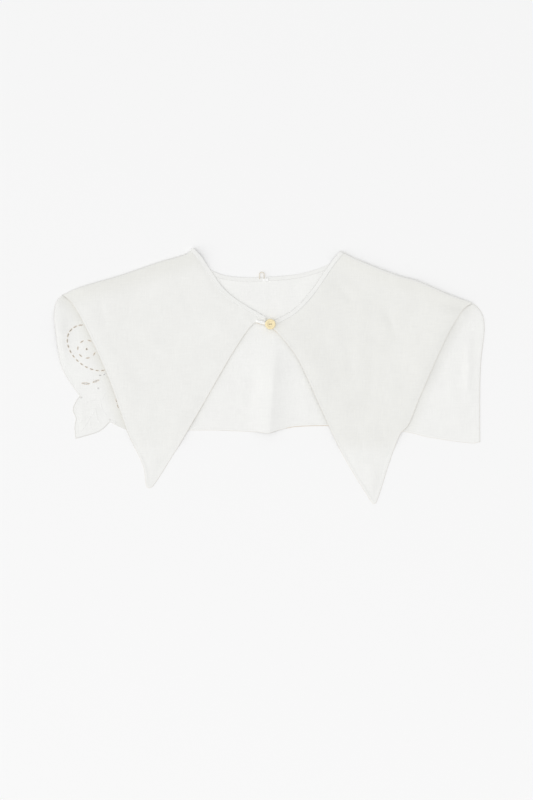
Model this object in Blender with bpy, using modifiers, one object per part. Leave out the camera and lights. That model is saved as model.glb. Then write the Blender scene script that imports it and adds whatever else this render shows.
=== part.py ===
"""Detachable linen collar, buttoned and laid flat: one back panel with two long pointed fronts over it.

The fronts turn over rounded shoulder folds and lie on the back panel, with their points on the table.
The back panel carries a cutwork end and a pressed centre crease. A narrow binding follows the neck
edge, a cord loop on one neck corner holds a small button on the other, and a tiny loop stands at the
back neck.

Metres, +Z up. +Y runs to the back neck, -Y to the points. The origin is on the table, under the middle.
"""

import math
from collections import namedtuple

import bmesh
import bpy
from mathutils import Vector

# Cloth
WALL = 0.0012
SEAM_GAP = 0.0003
SHOULDER_SEAM_GAP = 0.0004
BACK_TOP = WALL
FRONT_TOP = BACK_TOP + SEAM_GAP + WALL

# Shoulder fold: the front turns over it and ends in a short turning that meets the back panel
FOLD_RADIUS = 0.0025
FOLD_STEPS = 6
FOLD_FALL = 0.025
TURNING = 0.006

# Grid steps of each front, from neck edge to outer edge and from fold to front edge
FRONT_COLUMNS = 18
FRONT_ROWS = 20
CORNER_COLUMNS = 1
CURVE_STEPS = 16

# Where the fronts leave the back panel's lower edge and come down onto the table
DROP_LENGTH = 0.018

# Each front's outer edge stands a little off the back panel: the share of the front's width that lifts,
# and the share of its length after which it lies down again
LIFT_WIDTH = 0.25
LIFT_LENGTH = 0.77

# Pressed crease down the middle of the back panel
CREASE_X = 0.001
CREASE_LEFT = 0.009
CREASE_RIGHT = 0.016
CREASE_HEIGHT = 0.003
CREASE_LOW_Y = -0.060
CREASE_HIGH_Y = 0.048

# Soft upright wave near the right end of the back panel
WAVE_X = 0.222
WAVE_HALF_WIDTH = 0.008
WAVE_HEIGHT = 0.0015
WAVE_LOW_Y = -0.025
WAVE_HIGH_Y = 0.045

# Neck binding. On the right it stops short of the button, under which the loop passes.
BINDING_WIDTH = 0.004
BINDING_SHORT_ROWS = 2

# Button and its thread shank
BUTTON_X = 0.0013
BUTTON_Y = 0.0573
BUTTON_RADIUS = 0.00575
BUTTON_HEIGHT = 0.0024
BUTTON_WELL_RADIUS = 0.0036
BUTTON_WELL_FLOOR_RADIUS = 0.0027
BUTTON_WELL_DEPTH = 0.0007
BUTTON_RIM = 0.0006
BUTTON_RIM_STEPS = 3
BUTTON_STEPS = 32
HOLE_RADIUS = 0.0006
HOLE_SPACING = 0.0022
HOLE_STEPS = 12
SHANK_RADIUS = 0.0010
SHANK_STEPS = 16

# Button loop and hanging loop: soft round cord
CORD_RADIUS = 0.0006
CORD_BEVEL = 2
LOOP_START = (-0.0124, 0.0593)
LOOP_RISE = 0.6
LOOP_STRAND_STEPS = 6
LOOP_TURN_STEPS = 6
HANGING_X = -0.0080
HANGING_HALF_WIDTH = 0.0025
HANGING_REACH = 0.0060
HANGING_FOOT = 0.0025
HANGING_LEG_STEPS = 4
HANGING_TURN_STEPS = 8

# Colour, roughness
LINEN = ((0.86, 0.86, 0.83), 0.90)
COTTON = ((0.90, 0.90, 0.88), 0.85)
HORN = ((0.84, 0.72, 0.44), 0.35)

# A front's four sides: shoulder from neck to outer end, neckline from shoulder to neck corner,
# corner end, front edge from neck corner to point, outer edge from shoulder to point.
Front = namedtuple("Front", "shoulder neckline corner_end front_edge outer_edge leave_y edge_lift")

LEFT = Front(
    shoulder=[(-0.084, 0.141), (-0.0905, 0.135), (-0.12, 0.126), (-0.164, 0.111), (-0.208, 0.098),
              (-0.227, 0.09)],
    neckline=[(-0.084, 0.141), (-0.075, 0.132), (-0.065, 0.117), (-0.051, 0.0975), (-0.0355, 0.084),
              (-0.0035, 0.0645)],
    corner_end=[(-0.0035, 0.0645), (-0.0145, 0.0605)],
    front_edge=[(-0.0145, 0.0605), (-0.0235, 0.051), (-0.043, 0.021), (-0.076, -0.0365),
                (-0.1035, -0.083), (-0.1275, -0.1205), (-0.132, -0.123)],
    outer_edge=[(-0.227, 0.09), (-0.2165, 0.08), (-0.2015, 0.0535), (-0.176, -0.003),
                (-0.1555, -0.0615), (-0.1385, -0.099), (-0.135, -0.121), (-0.132, -0.123)],
    leave_y=-0.067,
    edge_lift=0.001,
)
RIGHT = Front(
    shoulder=[(0.0785, 0.1375), (0.1, 0.1275), (0.144, 0.1105), (0.1615, 0.106), (0.199, 0.09),
              (0.224, 0.081)],
    neckline=[(0.0785, 0.1375), (0.068, 0.1245), (0.0505, 0.099), (0.039, 0.0845), (0.025, 0.0715),
              (0.0075, 0.062), (-0.003, 0.0595)],
    corner_end=[(-0.003, 0.0595), (-0.0015, 0.0555)],
    front_edge=[(-0.0015, 0.0555), (0.0055, 0.051), (0.0175, 0.038), (0.032, 0.018), (0.057, -0.036),
                (0.081, -0.0865), (0.1105, -0.1355), (0.1145, -0.1405)],
    outer_edge=[(0.224, 0.081), (0.2165, 0.0765), (0.209, 0.0675), (0.1925, 0.038), (0.1635, -0.028),
                (0.153, -0.0535), (0.144, -0.0635), (0.1325, -0.094), (0.118, -0.1385),
                (0.1145, -0.1405)],
    leave_y=-0.068,
    edge_lift=0.0025,
)

# The back panel, left to right: each span's top edge and bottom edge. A top edge is either points, or
# the stretch of a shoulder between two of that front's columns.
Span = namedtuple("Span", "name columns top bottom")
Shoulder = namedtuple("Shoulder", "front start end")
BACK_SPANS = [
    Span("left fold end", 1, [(-0.2277, 0.0895), (-0.2221, 0.085)],
         [(-0.213, -0.0685), (-0.2055, -0.0665)]),
    Span("cutwork leaf", 4, Shoulder(LEFT, 18, 14),
         [(-0.2055, -0.0665), (-0.186, -0.06), (-0.175, -0.05)]),
    Span("cutwork scallop", 3, Shoulder(LEFT, 14, 11),
         [(-0.175, -0.05), (-0.166, -0.055), (-0.1565, -0.059)]),
    Span("left shoulder", 11, Shoulder(LEFT, 11, 0), [(-0.1565, -0.059), (-0.075, -0.0585)]),
    Span("under left front", 2, [(-0.0791, 0.1361), (-0.0728, 0.1227), (-0.0555, 0.1127)],
         [(-0.075, -0.0585), (-0.052, -0.0588)]),
    Span("left neck", 6, [(-0.0555, 0.1127), (-0.0375, 0.109), (-0.01, 0.1085)],
         [(-0.052, -0.0588), (-0.012, -0.0605)]),
    Span("crease", 8, [(-0.01, 0.1085), (0.018, 0.1102)],
         [(-0.012, -0.0605), (-0.001, -0.0618), (0.009, -0.0588), (0.018, -0.0565)]),
    Span("right neck", 6, [(0.018, 0.1102), (0.034, 0.1125), (0.0575, 0.1193)],
         [(0.018, -0.0565), (0.03, -0.0545), (0.06, -0.0535)]),
    Span("under right front", 2, [(0.0575, 0.1193), (0.071, 0.1265), (0.0743, 0.1323)],
         [(0.06, -0.0535), (0.075, -0.054)]),
    Span("right shoulder", 18, Shoulder(RIGHT, 0, 18),
         [(0.075, -0.054), (0.148, -0.06), (0.177, -0.0665), (0.223, -0.0728)]),
    Span("right fold end", 1, [(0.2175, 0.0767), (0.2248, 0.0802)],
         [(0.223, -0.0728), (0.232, -0.0715)]),
]
NECK_SPANS = ("left neck", "crease", "right neck")

# The back panel's two ends, from shoulder to lower corner, with the rows on each stretch
LEFT_END = [
    (9, [(-0.2277, 0.0895), (-0.2335, 0.0825), (-0.2363, 0.07), (-0.2355, 0.056), (-0.2295, 0.015),
         (-0.2235, 0.0005), (-0.2085, -0.0215)]),
    (5, [(-0.2085, -0.0215), (-0.2135, -0.029), (-0.216, -0.0375), (-0.2127, -0.0457), (-0.214, -0.056),
         (-0.213, -0.0685)]),
]
RIGHT_END = [
    (14, [(0.2248, 0.0802), (0.231, 0.074), (0.2352, 0.0665), (0.2367, 0.051), (0.233, 0.017),
          (0.2317, -0.025), (0.232, -0.0715)]),
]


def lerp(start, end, share):
    return start + (end - start) * share


def smooth_step(share):
    share = min(max(share, 0.0), 1.0)
    return share * share * (3 - 2 * share)


def smooth_curve(points, steps):
    """steps + 1 points, evenly spaced along a Catmull-Rom curve through the given points."""
    points = [Vector(point) for point in points]
    padded = [2 * points[0] - points[1], *points, 2 * points[-1] - points[-2]]
    fine = [points[0]]
    for before, start, end, after in zip(padded, padded[1:], padded[2:], padded[3:]):
        for step in range(1, CURVE_STEPS + 1):
            share = step / CURVE_STEPS
            square = share * share
            cube = square * share
            fine.append(0.5 * (2 * start + (end - before) * share
                               + (2 * before - 5 * start + 4 * end - after) * square
                               + (3 * start - before - 3 * end + after) * cube))
    return spaced(fine, steps)


def spaced(points, steps):
    """steps + 1 points, evenly spaced along a polyline."""
    lengths = [0.0]
    for start, end in zip(points, points[1:]):
        lengths.append(lengths[-1] + (end - start).length)
    found = []
    piece = 0
    for step in range(steps + 1):
        wanted = lengths[-1] * step / steps
        while piece < len(points) - 2 and lengths[piece + 1] < wanted:
            piece += 1
        run = lengths[piece + 1] - lengths[piece]
        found.append(lerp(points[piece], points[piece + 1], (wanted - lengths[piece]) / run))
    return found


def joined(stretches):
    """One row of points through several stretches, given as (steps, points)."""
    found = []
    for steps, points in stretches:
        found += smooth_curve(points, steps)[bool(found):]
    return found


def coons_patch(top, bottom, left, right):
    """Grid of plan points that fills four sides: columns from left to right, rows from top to bottom."""
    last_column = len(top) - 1
    last_row = len(left) - 1
    grid = []
    for column in range(last_column + 1):
        across = column / last_column
        points = []
        for row in range(last_row + 1):
            down = row / last_row
            corners = lerp(lerp(top[0], top[-1], across), lerp(bottom[0], bottom[-1], across), down)
            along = lerp(left[row], right[row], across)
            points.append(lerp(top[column], bottom[column], down) + along - corners)
        grid.append(points)
    return grid


def crease_height(point):
    """Height of the pressed crease: a sharp ridge, steeper on its left, fading out towards the neck."""
    side = point.x - CREASE_X
    width = CREASE_RIGHT if side > 0 else CREASE_LEFT
    flank = max(0.0, 1 - abs(side) / width)
    rise = smooth_step((CREASE_HIGH_Y - point.y) / (CREASE_HIGH_Y - CREASE_LOW_Y))
    return CREASE_HEIGHT * rise * lerp(flank, smooth_step(flank), 0.5)


def wave_height(point):
    flank = max(0.0, 1 - abs(point.x - WAVE_X) / WAVE_HALF_WIDTH)
    along = (point.y - WAVE_LOW_Y) / (WAVE_HIGH_Y - WAVE_LOW_Y)
    if not 0 < along < 1:
        return 0.0
    return WAVE_HEIGHT * smooth_step(flank) * math.sin(math.pi * along)


def back_underside(point):
    return crease_height(point) + wave_height(point)


def inward(front, share):
    """Plan direction from the shoulder into the front, for one unit square to the shoulder line."""
    first = Vector(front.shoulder[0])
    last = Vector(front.shoulder[-1])
    square = (last - first).orthogonal().normalized()
    if square.y > 0:
        square = -square
    sides = []
    for side in (front.neckline, front.outer_edge):
        along = Vector(side[1]) - Vector(side[0])
        sides.append(along / along.dot(square))
    return lerp(sides[0], sides[1], share)


def shoulder_line(front, inset):
    """The shoulder outline, a point for each column, moved into the front by an inset."""
    outline = smooth_curve(front.shoulder, FRONT_COLUMNS)
    return [point + inward(front, column / FRONT_COLUMNS) * inset
            for column, point in enumerate(outline)]


def raised(point, height):
    return Vector((point.x, point.y, height))


def fold_rows(front):
    """Rows of the shoulder fold, from the end of its turning on the table up to its crest."""
    rows = [(TURNING, 0.0)]
    for step in range(FOLD_STEPS):
        angle = math.pi * (1 - step / FOLD_STEPS)
        rows.append((FOLD_RADIUS * (1 - math.sin(angle)), FOLD_RADIUS * (1 + math.cos(angle))))
    return [[raised(point, height) for point in shoulder_line(front, inset)] for inset, height in rows]


def lift_share(across, down):
    """How far the outer edge stands up, from 0 to 1, at a share of the front's width and length."""
    hump = math.sin(math.pi * min(1.0, down / LIFT_LENGTH)) ** 2
    return smooth_step((across - 1 + LIFT_WIDTH) / LIFT_WIDTH) * hump


def front_grid(front):
    """Outer surface of a front, as columns of points from the turning, round the fold, to the edge."""
    crest = shoulder_line(front, FOLD_RADIUS)
    neckline = smooth_curve([crest[0], *front.neckline[1:]], FRONT_ROWS)
    outer_edge = smooth_curve([crest[-1], *front.outer_edge[1:]], FRONT_ROWS)
    front_edge = joined([(CORNER_COLUMNS, front.corner_end),
                         (FRONT_COLUMNS - CORNER_COLUMNS, front.front_edge)])
    plan = coons_patch(crest, front_edge, neckline, outer_edge)
    fold = fold_rows(front)
    grid = []
    for column, points in enumerate(plan):
        across = column / FRONT_COLUMNS
        placed = [row[column] for row in fold]
        for row, point in enumerate(points):
            fold_share = 1 - smooth_step((point - points[0]).length / FOLD_FALL)
            drop = smooth_step((front.leave_y - point.y) / DROP_LENGTH)
            lift = front.edge_lift * lift_share(across, row / FRONT_ROWS)
            flat = lerp(FRONT_TOP, WALL, drop) + crease_height(point) + lift
            placed.append(raised(point, lerp(flat, 2 * FOLD_RADIUS, fold_share)))
        grid.append(placed)
    return grid


def back_grid():
    """Underside of the back panel, as columns of points from shoulders and neck to the lower edge."""
    seam = Vector((0.0, SHOULDER_SEAM_GAP))
    top = []
    bottom = []
    for span in BACK_SPANS:
        if isinstance(span.top, Shoulder):
            line = shoulder_line(span.top.front, TURNING)
            way = 1 if span.top.start < span.top.end else -1
            edge = [line[column] - seam for column in range(span.top.start, span.top.end + way, way)]
        else:
            edge = smooth_curve(span.top, span.columns)
        top += edge[bool(top):]
        bottom += smooth_curve(span.bottom, span.columns)[bool(bottom):]
    plan = coons_patch(top, bottom, joined(LEFT_END), joined(RIGHT_END))
    return [[raised(point, back_underside(point)) for point in column] for column in plan]


def principled(name, look):
    colour, roughness = look
    material = bpy.data.materials.new(name)
    material.use_nodes = True
    shader = material.node_tree.nodes["Principled BSDF"]
    shader.inputs["Base Color"].default_value = (*colour, 1.0)
    shader.inputs["Roughness"].default_value = roughness
    return material


def add_object(name, data, material, collection):
    obj = bpy.data.objects.new(name, data)
    data.materials.append(material)
    collection.objects.link(obj)
    return obj


def cloth_mesh(name, grid):
    """Mesh of a grid of points, facing up where its columns run left to right and its rows run down."""
    mesh = bpy.data.meshes.new(name)
    shape = bmesh.new()
    bmesh.ops.create_grid(shape, x_segments=len(grid) - 1, y_segments=len(grid[0]) - 1, size=0.5)
    shape.verts.ensure_lookup_table()
    for vertex in shape.verts:
        column = round((vertex.co.x + 0.5) * (len(grid) - 1))
        row = round((0.5 - vertex.co.y) * (len(grid[0]) - 1))
        vertex.co = grid[column][row]
    shape.to_mesh(mesh)
    shape.free()
    return mesh


def add_cloth(name, grid, grows_up, material, collection):
    """Cloth wall on a surface. It grows up from an underside, or inward from an outer surface."""
    cloth = add_object(name, cloth_mesh(name, grid), material, collection)
    wall = cloth.modifiers.new("Wall", "SOLIDIFY")
    wall.thickness = WALL
    wall.offset = 1.0 if grows_up else -1.0
    wall.use_even_offset = True
    wall.use_quality_normals = True
    return cloth


def binding_grid(edge, inside, height):
    """Strip along an edge of a panel: the edge's own points and points one width in, moved up."""
    up = Vector((0.0, 0.0, height))
    near = [point + up for point in edge]
    far = [lerp(start, end, BINDING_WIDTH / (end - start).length) + up
           for start, end in zip(edge, inside)]
    return [near, far]


def add_front_binding(name, grid, short_rows, faces_left, material, collection):
    """Binding along a front's neck edge, from the fold's crest to the neck corner or short of it."""
    rows = slice(FOLD_STEPS + 1, len(grid[0]) - short_rows)
    strip = binding_grid(grid[0][rows], grid[1][rows], SEAM_GAP)
    add_cloth(name, strip[::-1] if faces_left else strip, True, material, collection)


def add_back_binding(back, material, collection):
    """Binding along the back neck edge, between the fronts."""
    names = [span.name for span in BACK_SPANS]
    first = sum(span.columns for span in BACK_SPANS[:names.index(NECK_SPANS[0])])
    last = sum(span.columns for span in BACK_SPANS[:names.index(NECK_SPANS[-1]) + 1])
    neck = back[first:last + 1]
    edge = [column[0] for column in neck]
    inside = [column[1] for column in neck]
    strip = binding_grid(edge, inside, BACK_TOP + SEAM_GAP)
    add_cloth("binding_back", [list(pair) for pair in zip(*strip)], True, material, collection)


def turned_object(name, profile, steps, place, material, collection):
    """Turned solid from a profile of (radius, height) that runs down its outer side, top to bottom."""
    mesh = bpy.data.meshes.new(name)
    shape = bmesh.new()
    vertices = [shape.verts.new((radius, 0.0, height)) for radius, height in profile]
    for start, end in zip(vertices, vertices[1:]):
        shape.edges.new((start, end))
    shape.to_mesh(mesh)
    shape.free()
    turned = add_object(name, mesh, material, collection)
    turned.location = place
    screw = turned.modifiers.new("Turn", "SCREW")
    screw.steps = steps
    screw.render_steps = steps
    screw.use_merge_vertices = True
    screw.merge_threshold = 0.00001
    return turned


def button_profile():
    """Flat back, rounded rim and a shallow well in the face."""
    profile = [(0.0, BUTTON_HEIGHT - BUTTON_WELL_DEPTH),
               (BUTTON_WELL_FLOOR_RADIUS, BUTTON_HEIGHT - BUTTON_WELL_DEPTH),
               (BUTTON_WELL_RADIUS, BUTTON_HEIGHT)]
    for step in range(BUTTON_RIM_STEPS + 1):
        angle = math.pi / 2 * (1 - step / BUTTON_RIM_STEPS)
        profile.append((BUTTON_RADIUS - BUTTON_RIM + BUTTON_RIM * math.cos(angle),
                        BUTTON_HEIGHT - BUTTON_RIM + BUTTON_RIM * math.sin(angle)))
    profile.append((BUTTON_RADIUS, BUTTON_RIM))
    profile.append((BUTTON_RADIUS - BUTTON_RIM, 0.0))
    profile.append((0.0, 0.0))
    return profile


def add_hole(button, number, place, cutters):
    """Cutter for one hole of the button, longer than the button is thick."""
    bpy.ops.mesh.primitive_cylinder_add(vertices=HOLE_STEPS, radius=HOLE_RADIUS, depth=4 * BUTTON_HEIGHT,
                                        location=place)
    cutter = bpy.context.object
    cutter.name = f"button_hole_{number}"
    cutter.hide_render = True
    cutter.display_type = "WIRE"
    bpy.context.collection.objects.unlink(cutter)
    cutters.objects.link(cutter)
    hole = button.modifiers.new(cutter.name, "BOOLEAN")
    hole.object = cutter
    hole.operation = "DIFFERENCE"


def add_button(horn, thread, collection, cutters):
    """Button on its thread shank, with room for the loop between it and the cloth."""
    cloth_top = FRONT_TOP + SEAM_GAP
    shank_height = 2 * CORD_RADIUS
    underside = cloth_top + shank_height + SEAM_GAP
    button = turned_object("button", button_profile(), BUTTON_STEPS, (BUTTON_X, BUTTON_Y, underside),
                           horn, collection)
    for number, side in enumerate((-1, 1), 1):
        add_hole(button, number, (BUTTON_X + side * HOLE_SPACING / 2, BUTTON_Y, underside), cutters)
    profile = [(0.0, shank_height), (SHANK_RADIUS, shank_height), (SHANK_RADIUS, 0.0), (0.0, 0.0)]
    turned_object("button_shank", profile, SHANK_STEPS, (BUTTON_X, BUTTON_Y, cloth_top), thread,
                  collection)


def add_cord(name, route, material, collection):
    curve = bpy.data.curves.new(name, "CURVE")
    curve.dimensions = "3D"
    curve.bevel_depth = CORD_RADIUS
    curve.bevel_resolution = CORD_BEVEL
    curve.use_fill_caps = True
    spline = curve.splines.new("POLY")
    spline.points.add(len(route) - 1)
    for point, place in zip(spline.points, route):
        point.co = (*place, 1.0)
    return add_object(name, curve, material, collection)


def button_loop_route():
    """From the left front's corner end, round the button's shank and back, over the right corner."""
    start = Vector(LOOP_START)
    button = Vector((BUTTON_X, BUTTON_Y))
    towards = (button - start).normalized()
    across = Vector((-towards.y, towards.x))
    turn_radius = SHANK_RADIUS + SEAM_GAP + CORD_RADIUS
    low = FRONT_TOP - WALL / 2
    high = FRONT_TOP + SEAM_GAP + CORD_RADIUS
    strands = []
    for side in (across, -across):
        strand = []
        for step in range(LOOP_STRAND_STEPS + 1):
            share = step / LOOP_STRAND_STEPS
            half_width = lerp(CORD_RADIUS + SEAM_GAP, turn_radius, smooth_step(share))
            height = lerp(low, high, smooth_step(share / LOOP_RISE))
            strand.append(raised(lerp(start, button, share) + side * half_width, height))
        strands.append(strand)
    bend = []
    for step in range(1, LOOP_TURN_STEPS):
        angle = math.pi / 2 - math.pi * step / LOOP_TURN_STEPS
        turn = towards * math.cos(angle) + across * math.sin(angle)
        bend.append(raised(button + turn * turn_radius, high))
    return strands[0] + bend + strands[1][::-1]


def hanging_loop_route(neck_y):
    """Narrow loop with both feet on the back binding and its bend just past the neck edge."""
    height = BACK_TOP + SEAM_GAP + WALL + SEAM_GAP + CORD_RADIUS
    foot_y = neck_y - HANGING_FOOT
    bend_y = neck_y + HANGING_REACH - HANGING_HALF_WIDTH
    legs = []
    for side in (-1, 1):
        x = HANGING_X + side * HANGING_HALF_WIDTH
        legs.append([Vector((x, lerp(foot_y, bend_y, step / HANGING_LEG_STEPS), height))
                     for step in range(HANGING_LEG_STEPS)])
    bend = []
    for step in range(HANGING_TURN_STEPS + 1):
        angle = math.pi * (1 - step / HANGING_TURN_STEPS)
        bend.append(Vector((HANGING_X + HANGING_HALF_WIDTH * math.cos(angle),
                            bend_y + HANGING_HALF_WIDTH * math.sin(angle), height)))
    return legs[0] + bend + legs[1][::-1]


def new_collection(name):
    collection = bpy.data.collections.new(name)
    bpy.context.scene.collection.children.link(collection)
    return collection


def main():
    for obj in list(bpy.data.objects):
        bpy.data.objects.remove(obj)
    collar = new_collection("detachable_collar")
    cutters = new_collection("cutters")
    linen = principled("linen", LINEN)
    binding = principled("binding", LINEN)
    cotton = principled("cotton", COTTON)
    horn = principled("horn", HORN)

    back = back_grid()
    left = front_grid(LEFT)
    right = front_grid(RIGHT)
    add_cloth("back_panel", back, True, linen, collar)
    add_cloth("front_left", left[::-1], False, linen, collar)
    add_cloth("front_right", right, False, linen, collar)
    add_back_binding(back, binding, collar)
    add_front_binding("binding_left", left, 0, True, binding, collar)
    add_front_binding("binding_right", right, BINDING_SHORT_ROWS, False, binding, collar)
    add_button(horn, cotton, collar, cutters)
    add_cord("button_loop", button_loop_route(), cotton, collar)
    middle = min(back, key=lambda column: abs(column[0].x - HANGING_X))
    add_cord("hanging_loop", hanging_loop_route(middle[0].y), cotton, collar)


main()
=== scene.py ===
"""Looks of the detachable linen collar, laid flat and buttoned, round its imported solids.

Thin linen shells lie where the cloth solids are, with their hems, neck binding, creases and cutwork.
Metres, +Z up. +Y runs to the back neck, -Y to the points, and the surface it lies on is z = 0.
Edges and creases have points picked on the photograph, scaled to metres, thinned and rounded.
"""

import math
from collections import namedtuple

import bpy
import numpy as np
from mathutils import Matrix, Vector, geometry, noise
from mathutils.bvhtree import BVHTree


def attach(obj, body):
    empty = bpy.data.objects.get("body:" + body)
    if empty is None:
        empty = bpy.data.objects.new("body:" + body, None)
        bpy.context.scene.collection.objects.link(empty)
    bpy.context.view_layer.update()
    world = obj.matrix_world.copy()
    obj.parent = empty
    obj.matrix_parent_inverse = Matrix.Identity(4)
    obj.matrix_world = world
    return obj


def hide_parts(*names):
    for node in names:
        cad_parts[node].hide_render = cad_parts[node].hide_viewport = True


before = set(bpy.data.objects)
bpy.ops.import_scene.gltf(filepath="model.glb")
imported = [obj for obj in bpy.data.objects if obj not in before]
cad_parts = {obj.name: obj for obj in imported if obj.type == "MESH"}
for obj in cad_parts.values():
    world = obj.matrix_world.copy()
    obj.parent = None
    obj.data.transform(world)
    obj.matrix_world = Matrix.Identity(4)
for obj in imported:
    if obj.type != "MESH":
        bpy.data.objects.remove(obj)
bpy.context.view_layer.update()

# ---- sizes, in metres, and shares from 0 to 1

LINEN = 0.0004
HEM = 0.00052
CURVE_STEPS = 24
ABOVE_ALL = 0.05
BESIDE_EDGE = 0.002
OFF_TABLE = 0.00002
ONTO_CLOTH = 0.0001
FAR = 1.0
TINY = 1e-16
MERGE_DISTANCE = 1e-7

# Fronts: grid, fold and heights of the outer surface
FRONT_COLUMNS = 110
FRONT_ROWS = 120
FRONT_CROWDING = 0.62
EDGE_RING = 0.0012
CORNER_SHARE = 1 / 18
FOLD_RADIUS = 0.0025
FOLD_SLACK = 0.16
FOLD_WAVE = 0.055
FOLD_STEPS = 16
FOLD_END = 0.16
FOLD_END_FLATTER = 0.55
FOLD_FALL = 0.026
TURNING = 0.006
TURNING_STEPS = 5
FRONT_LEVEL = 0.0025
POINT_LEVEL = 0.001
NECK_LEVEL = -0.0005
NECK_REACH = 0.012
DROP_LENGTH = 0.022
LIFT_WIDTH = 0.25
LIFT_LENGTH = 0.8
EDGE_DROOP = 0.00075
EDGE_DROOP_REACH = 0.008
FRONT_LIFT_ROWS = 0.35
FRONT_LIFT_REACH = 0.8
FRONT_UNEVEN = 0.00034
FRONT_UNEVEN_SIZES = (0.034, 0.0095)
FINE_UNEVEN = 0.00007

# Hems
HEM_WIDTH = 0.0027
HEM_STEP = 0.0007
EDGE_ROUND = 0.0005
EDGE_THIN = 0.55
EDGE_SHADE_WIDTH = 0.0007

# Back panel: lattice, and heights over the surface it lies on
BACK_SPACING = 0.0024
CUTWORK_SPACING = 0.0011
CUTWORK_RIGHT_X = -0.155
OUTLINE_SPACING = 0.0014
OPENING_SPACING = 0.00055
FEWEST_OPENING_STEPS = 10
BACK_EDGE_RING = 0.00035
SEAM_GAP = 0.0003
SEAM_STEPS = 107
SEAM_STRIDE = 8
LATTICE_CLEAR = 0.4
RING_AWAY = 0.8
BACK_REST = 0.00022
BACK_REST_REACH = 0.006
BACK_UNEVEN = 0.00026
BACK_UNEVEN_SIZES = (0.04, 0.01)
BACK_LAYER = 21.5
# Painted shade on the back beside the fronts' edges: how far it reaches from their outer edges, and how
# strong and how far it is beside their front edges
OUTER_EDGE_SHADE_REACH = 0.0085
FRONT_EDGE_PAINTED_SHADE = 0.03
FRONT_EDGE_SHADE_REACH = 0.0032
NECK_LIFT = 0.00046
NECK_LIFT_REACH = 0.018
CREASE_HEIGHT = 0.0042
CREASE_LEFT = 0.026
CREASE_RIGHT = 0.024
CREASE_FOOT = (0.001, -0.06)
CREASE_SLANT = 0.068
CREASE_TOP_Y = 0.056
CREASE_RISE = 0.062
MOUND = (-0.2, 0.028)
MOUND_HEIGHT = 0.0009
MOUND_REACH = 0.028
SLOPE_HEIGHT = 0.0034
SLOPE_OUT = 0.012
SLOPE_IN = 0.008
SLOPE_START = 0.06
SLOPE_FOOT_Y = -0.075
SLOPE_TOP_Y = 0.03
SLOPE_SEAM = 0.014

# Neck binding, folded round the neck edge
BINDING_TOP = 0.004
BINDING_UNDER = 0.0038
BINDING_WALL = 0.0002
BINDING_CLEAR = 0.00009
BINDING_RISE = BINDING_CLEAR + BINDING_WALL
BINDING_LEG_STEPS = 5
BINDING_ROUND_STEPS = 8
BINDING_STOP = 0.9
BINDING_MITRE = 0.0014
MITRE_TIP = 0.1
BACK_BINDING_SHORT = 3
NECK_STITCH_INSET = 0.0036

# Stitches
STITCH_PITCH = 0.0021
STITCH_LENGTH = 0.0013
STITCH_RADIUS = 0.0001
STITCH_INSET = 0.0023
STITCH_SIDES = 6
STITCH_TURN = 0.14
STITCH_UNEVEN = 0.25
STITCH_FLATTER = 1.25
STITCHES_WITHIN = 0.96
# Rings of a stitch: place along half its length, and size and height in thread radii
STITCH_RINGS = [(-1, 0.35, -0.9), (-0.6, 0.9, 0.3), (0, 1.0, 0.7), (0.6, 0.9, 0.3), (1, 0.35, -0.9)]
OVERCAST_PITCH = 0.0032
OVERCAST_LENGTH = 0.0021
OVERCAST_INSET = 0.0008
# Lengths along a front's edge, from its neck corner, where a browned cord lies as painted shade
CORNER_SHADE_LENGTHS = np.linspace(0.008, 0.02, 25)
# Points of a plan line that a row of stitches, or a cord, leaves out at its ends
LOWER_ROW_START = 10
NECK_ROW_ENDS = 12
OUTER_ROW_STOP = 30
INNER_LINE_ENDS = 6

# Cutwork of the left end: a ring of slots, turned by degrees, and a flower, turned by radians
RING = (-0.1951, 0.0315)
RING_LONG = 0.03
RING_SHORT = 0.021
RING_TURN = -40
RING_STEPS = 720
RING_SLOTS = 26
SLOT_LENGTH = 0.004
SLOT_WIDTH = 0.0006
SLOT_SLIMMER = 0.15
SLOT_SLIM_DROP = 0.034
SLOT_SHORTER = 0.2
SLOT_UNEVEN = 0.16
SLOT_POINT = 0.25
FLOWER = (-0.2005, 0.03)
FLOWER_REACH = 0.0098
FLOWER_PETALS = 7
FLOWER_TURN = 0.35
FLOWER_EYE = 0.0016
PETAL_LENGTH = 0.0036
PETAL_WIDTH = 0.0004
PETAL_POINT = 0.4
RIM_OUT = 0.0003
BAR_SHARES = (-0.24, 0.0, 0.24)
BAR_REACH = 0.6
SATIN_RADIUS = 0.00042
SATIN_SINK = 0.0001
SATIN_INSET = 0.0006
INNER_LINE_INSET = 0.0038

# Cords wrapped in thread: a pair is a radius and how deep the cord's middle sinks into the cloth
WRAP_PITCH = 0.0008
WRAP_DEPTH = 0.14
CORD_SIDES = 8
CORD_SPACING = 0.001
BLUNT_END = 0.5
TAPERED_END = 0.35
RIM_CORD = (0.00034, 0.00005)
BAR_CORD = (0.0003, 0.0001)
VEIN_CORD = (0.00034, 0.00004)
INNER_CORD = (0.00026, 0.00008)
LOWER_EDGE_CORD = (0.00042, 0.0001)
CORNER_SHADE_CORD = (0.00035, 0.0002)
DARK_CORD_TAPER = 0.0035

# Button, its loop, and the hanging loop
BUTTON = (0.0013, 0.0573)
BUTTON_BASE = 0.0045
BUTTON_STEPS = 96
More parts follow.
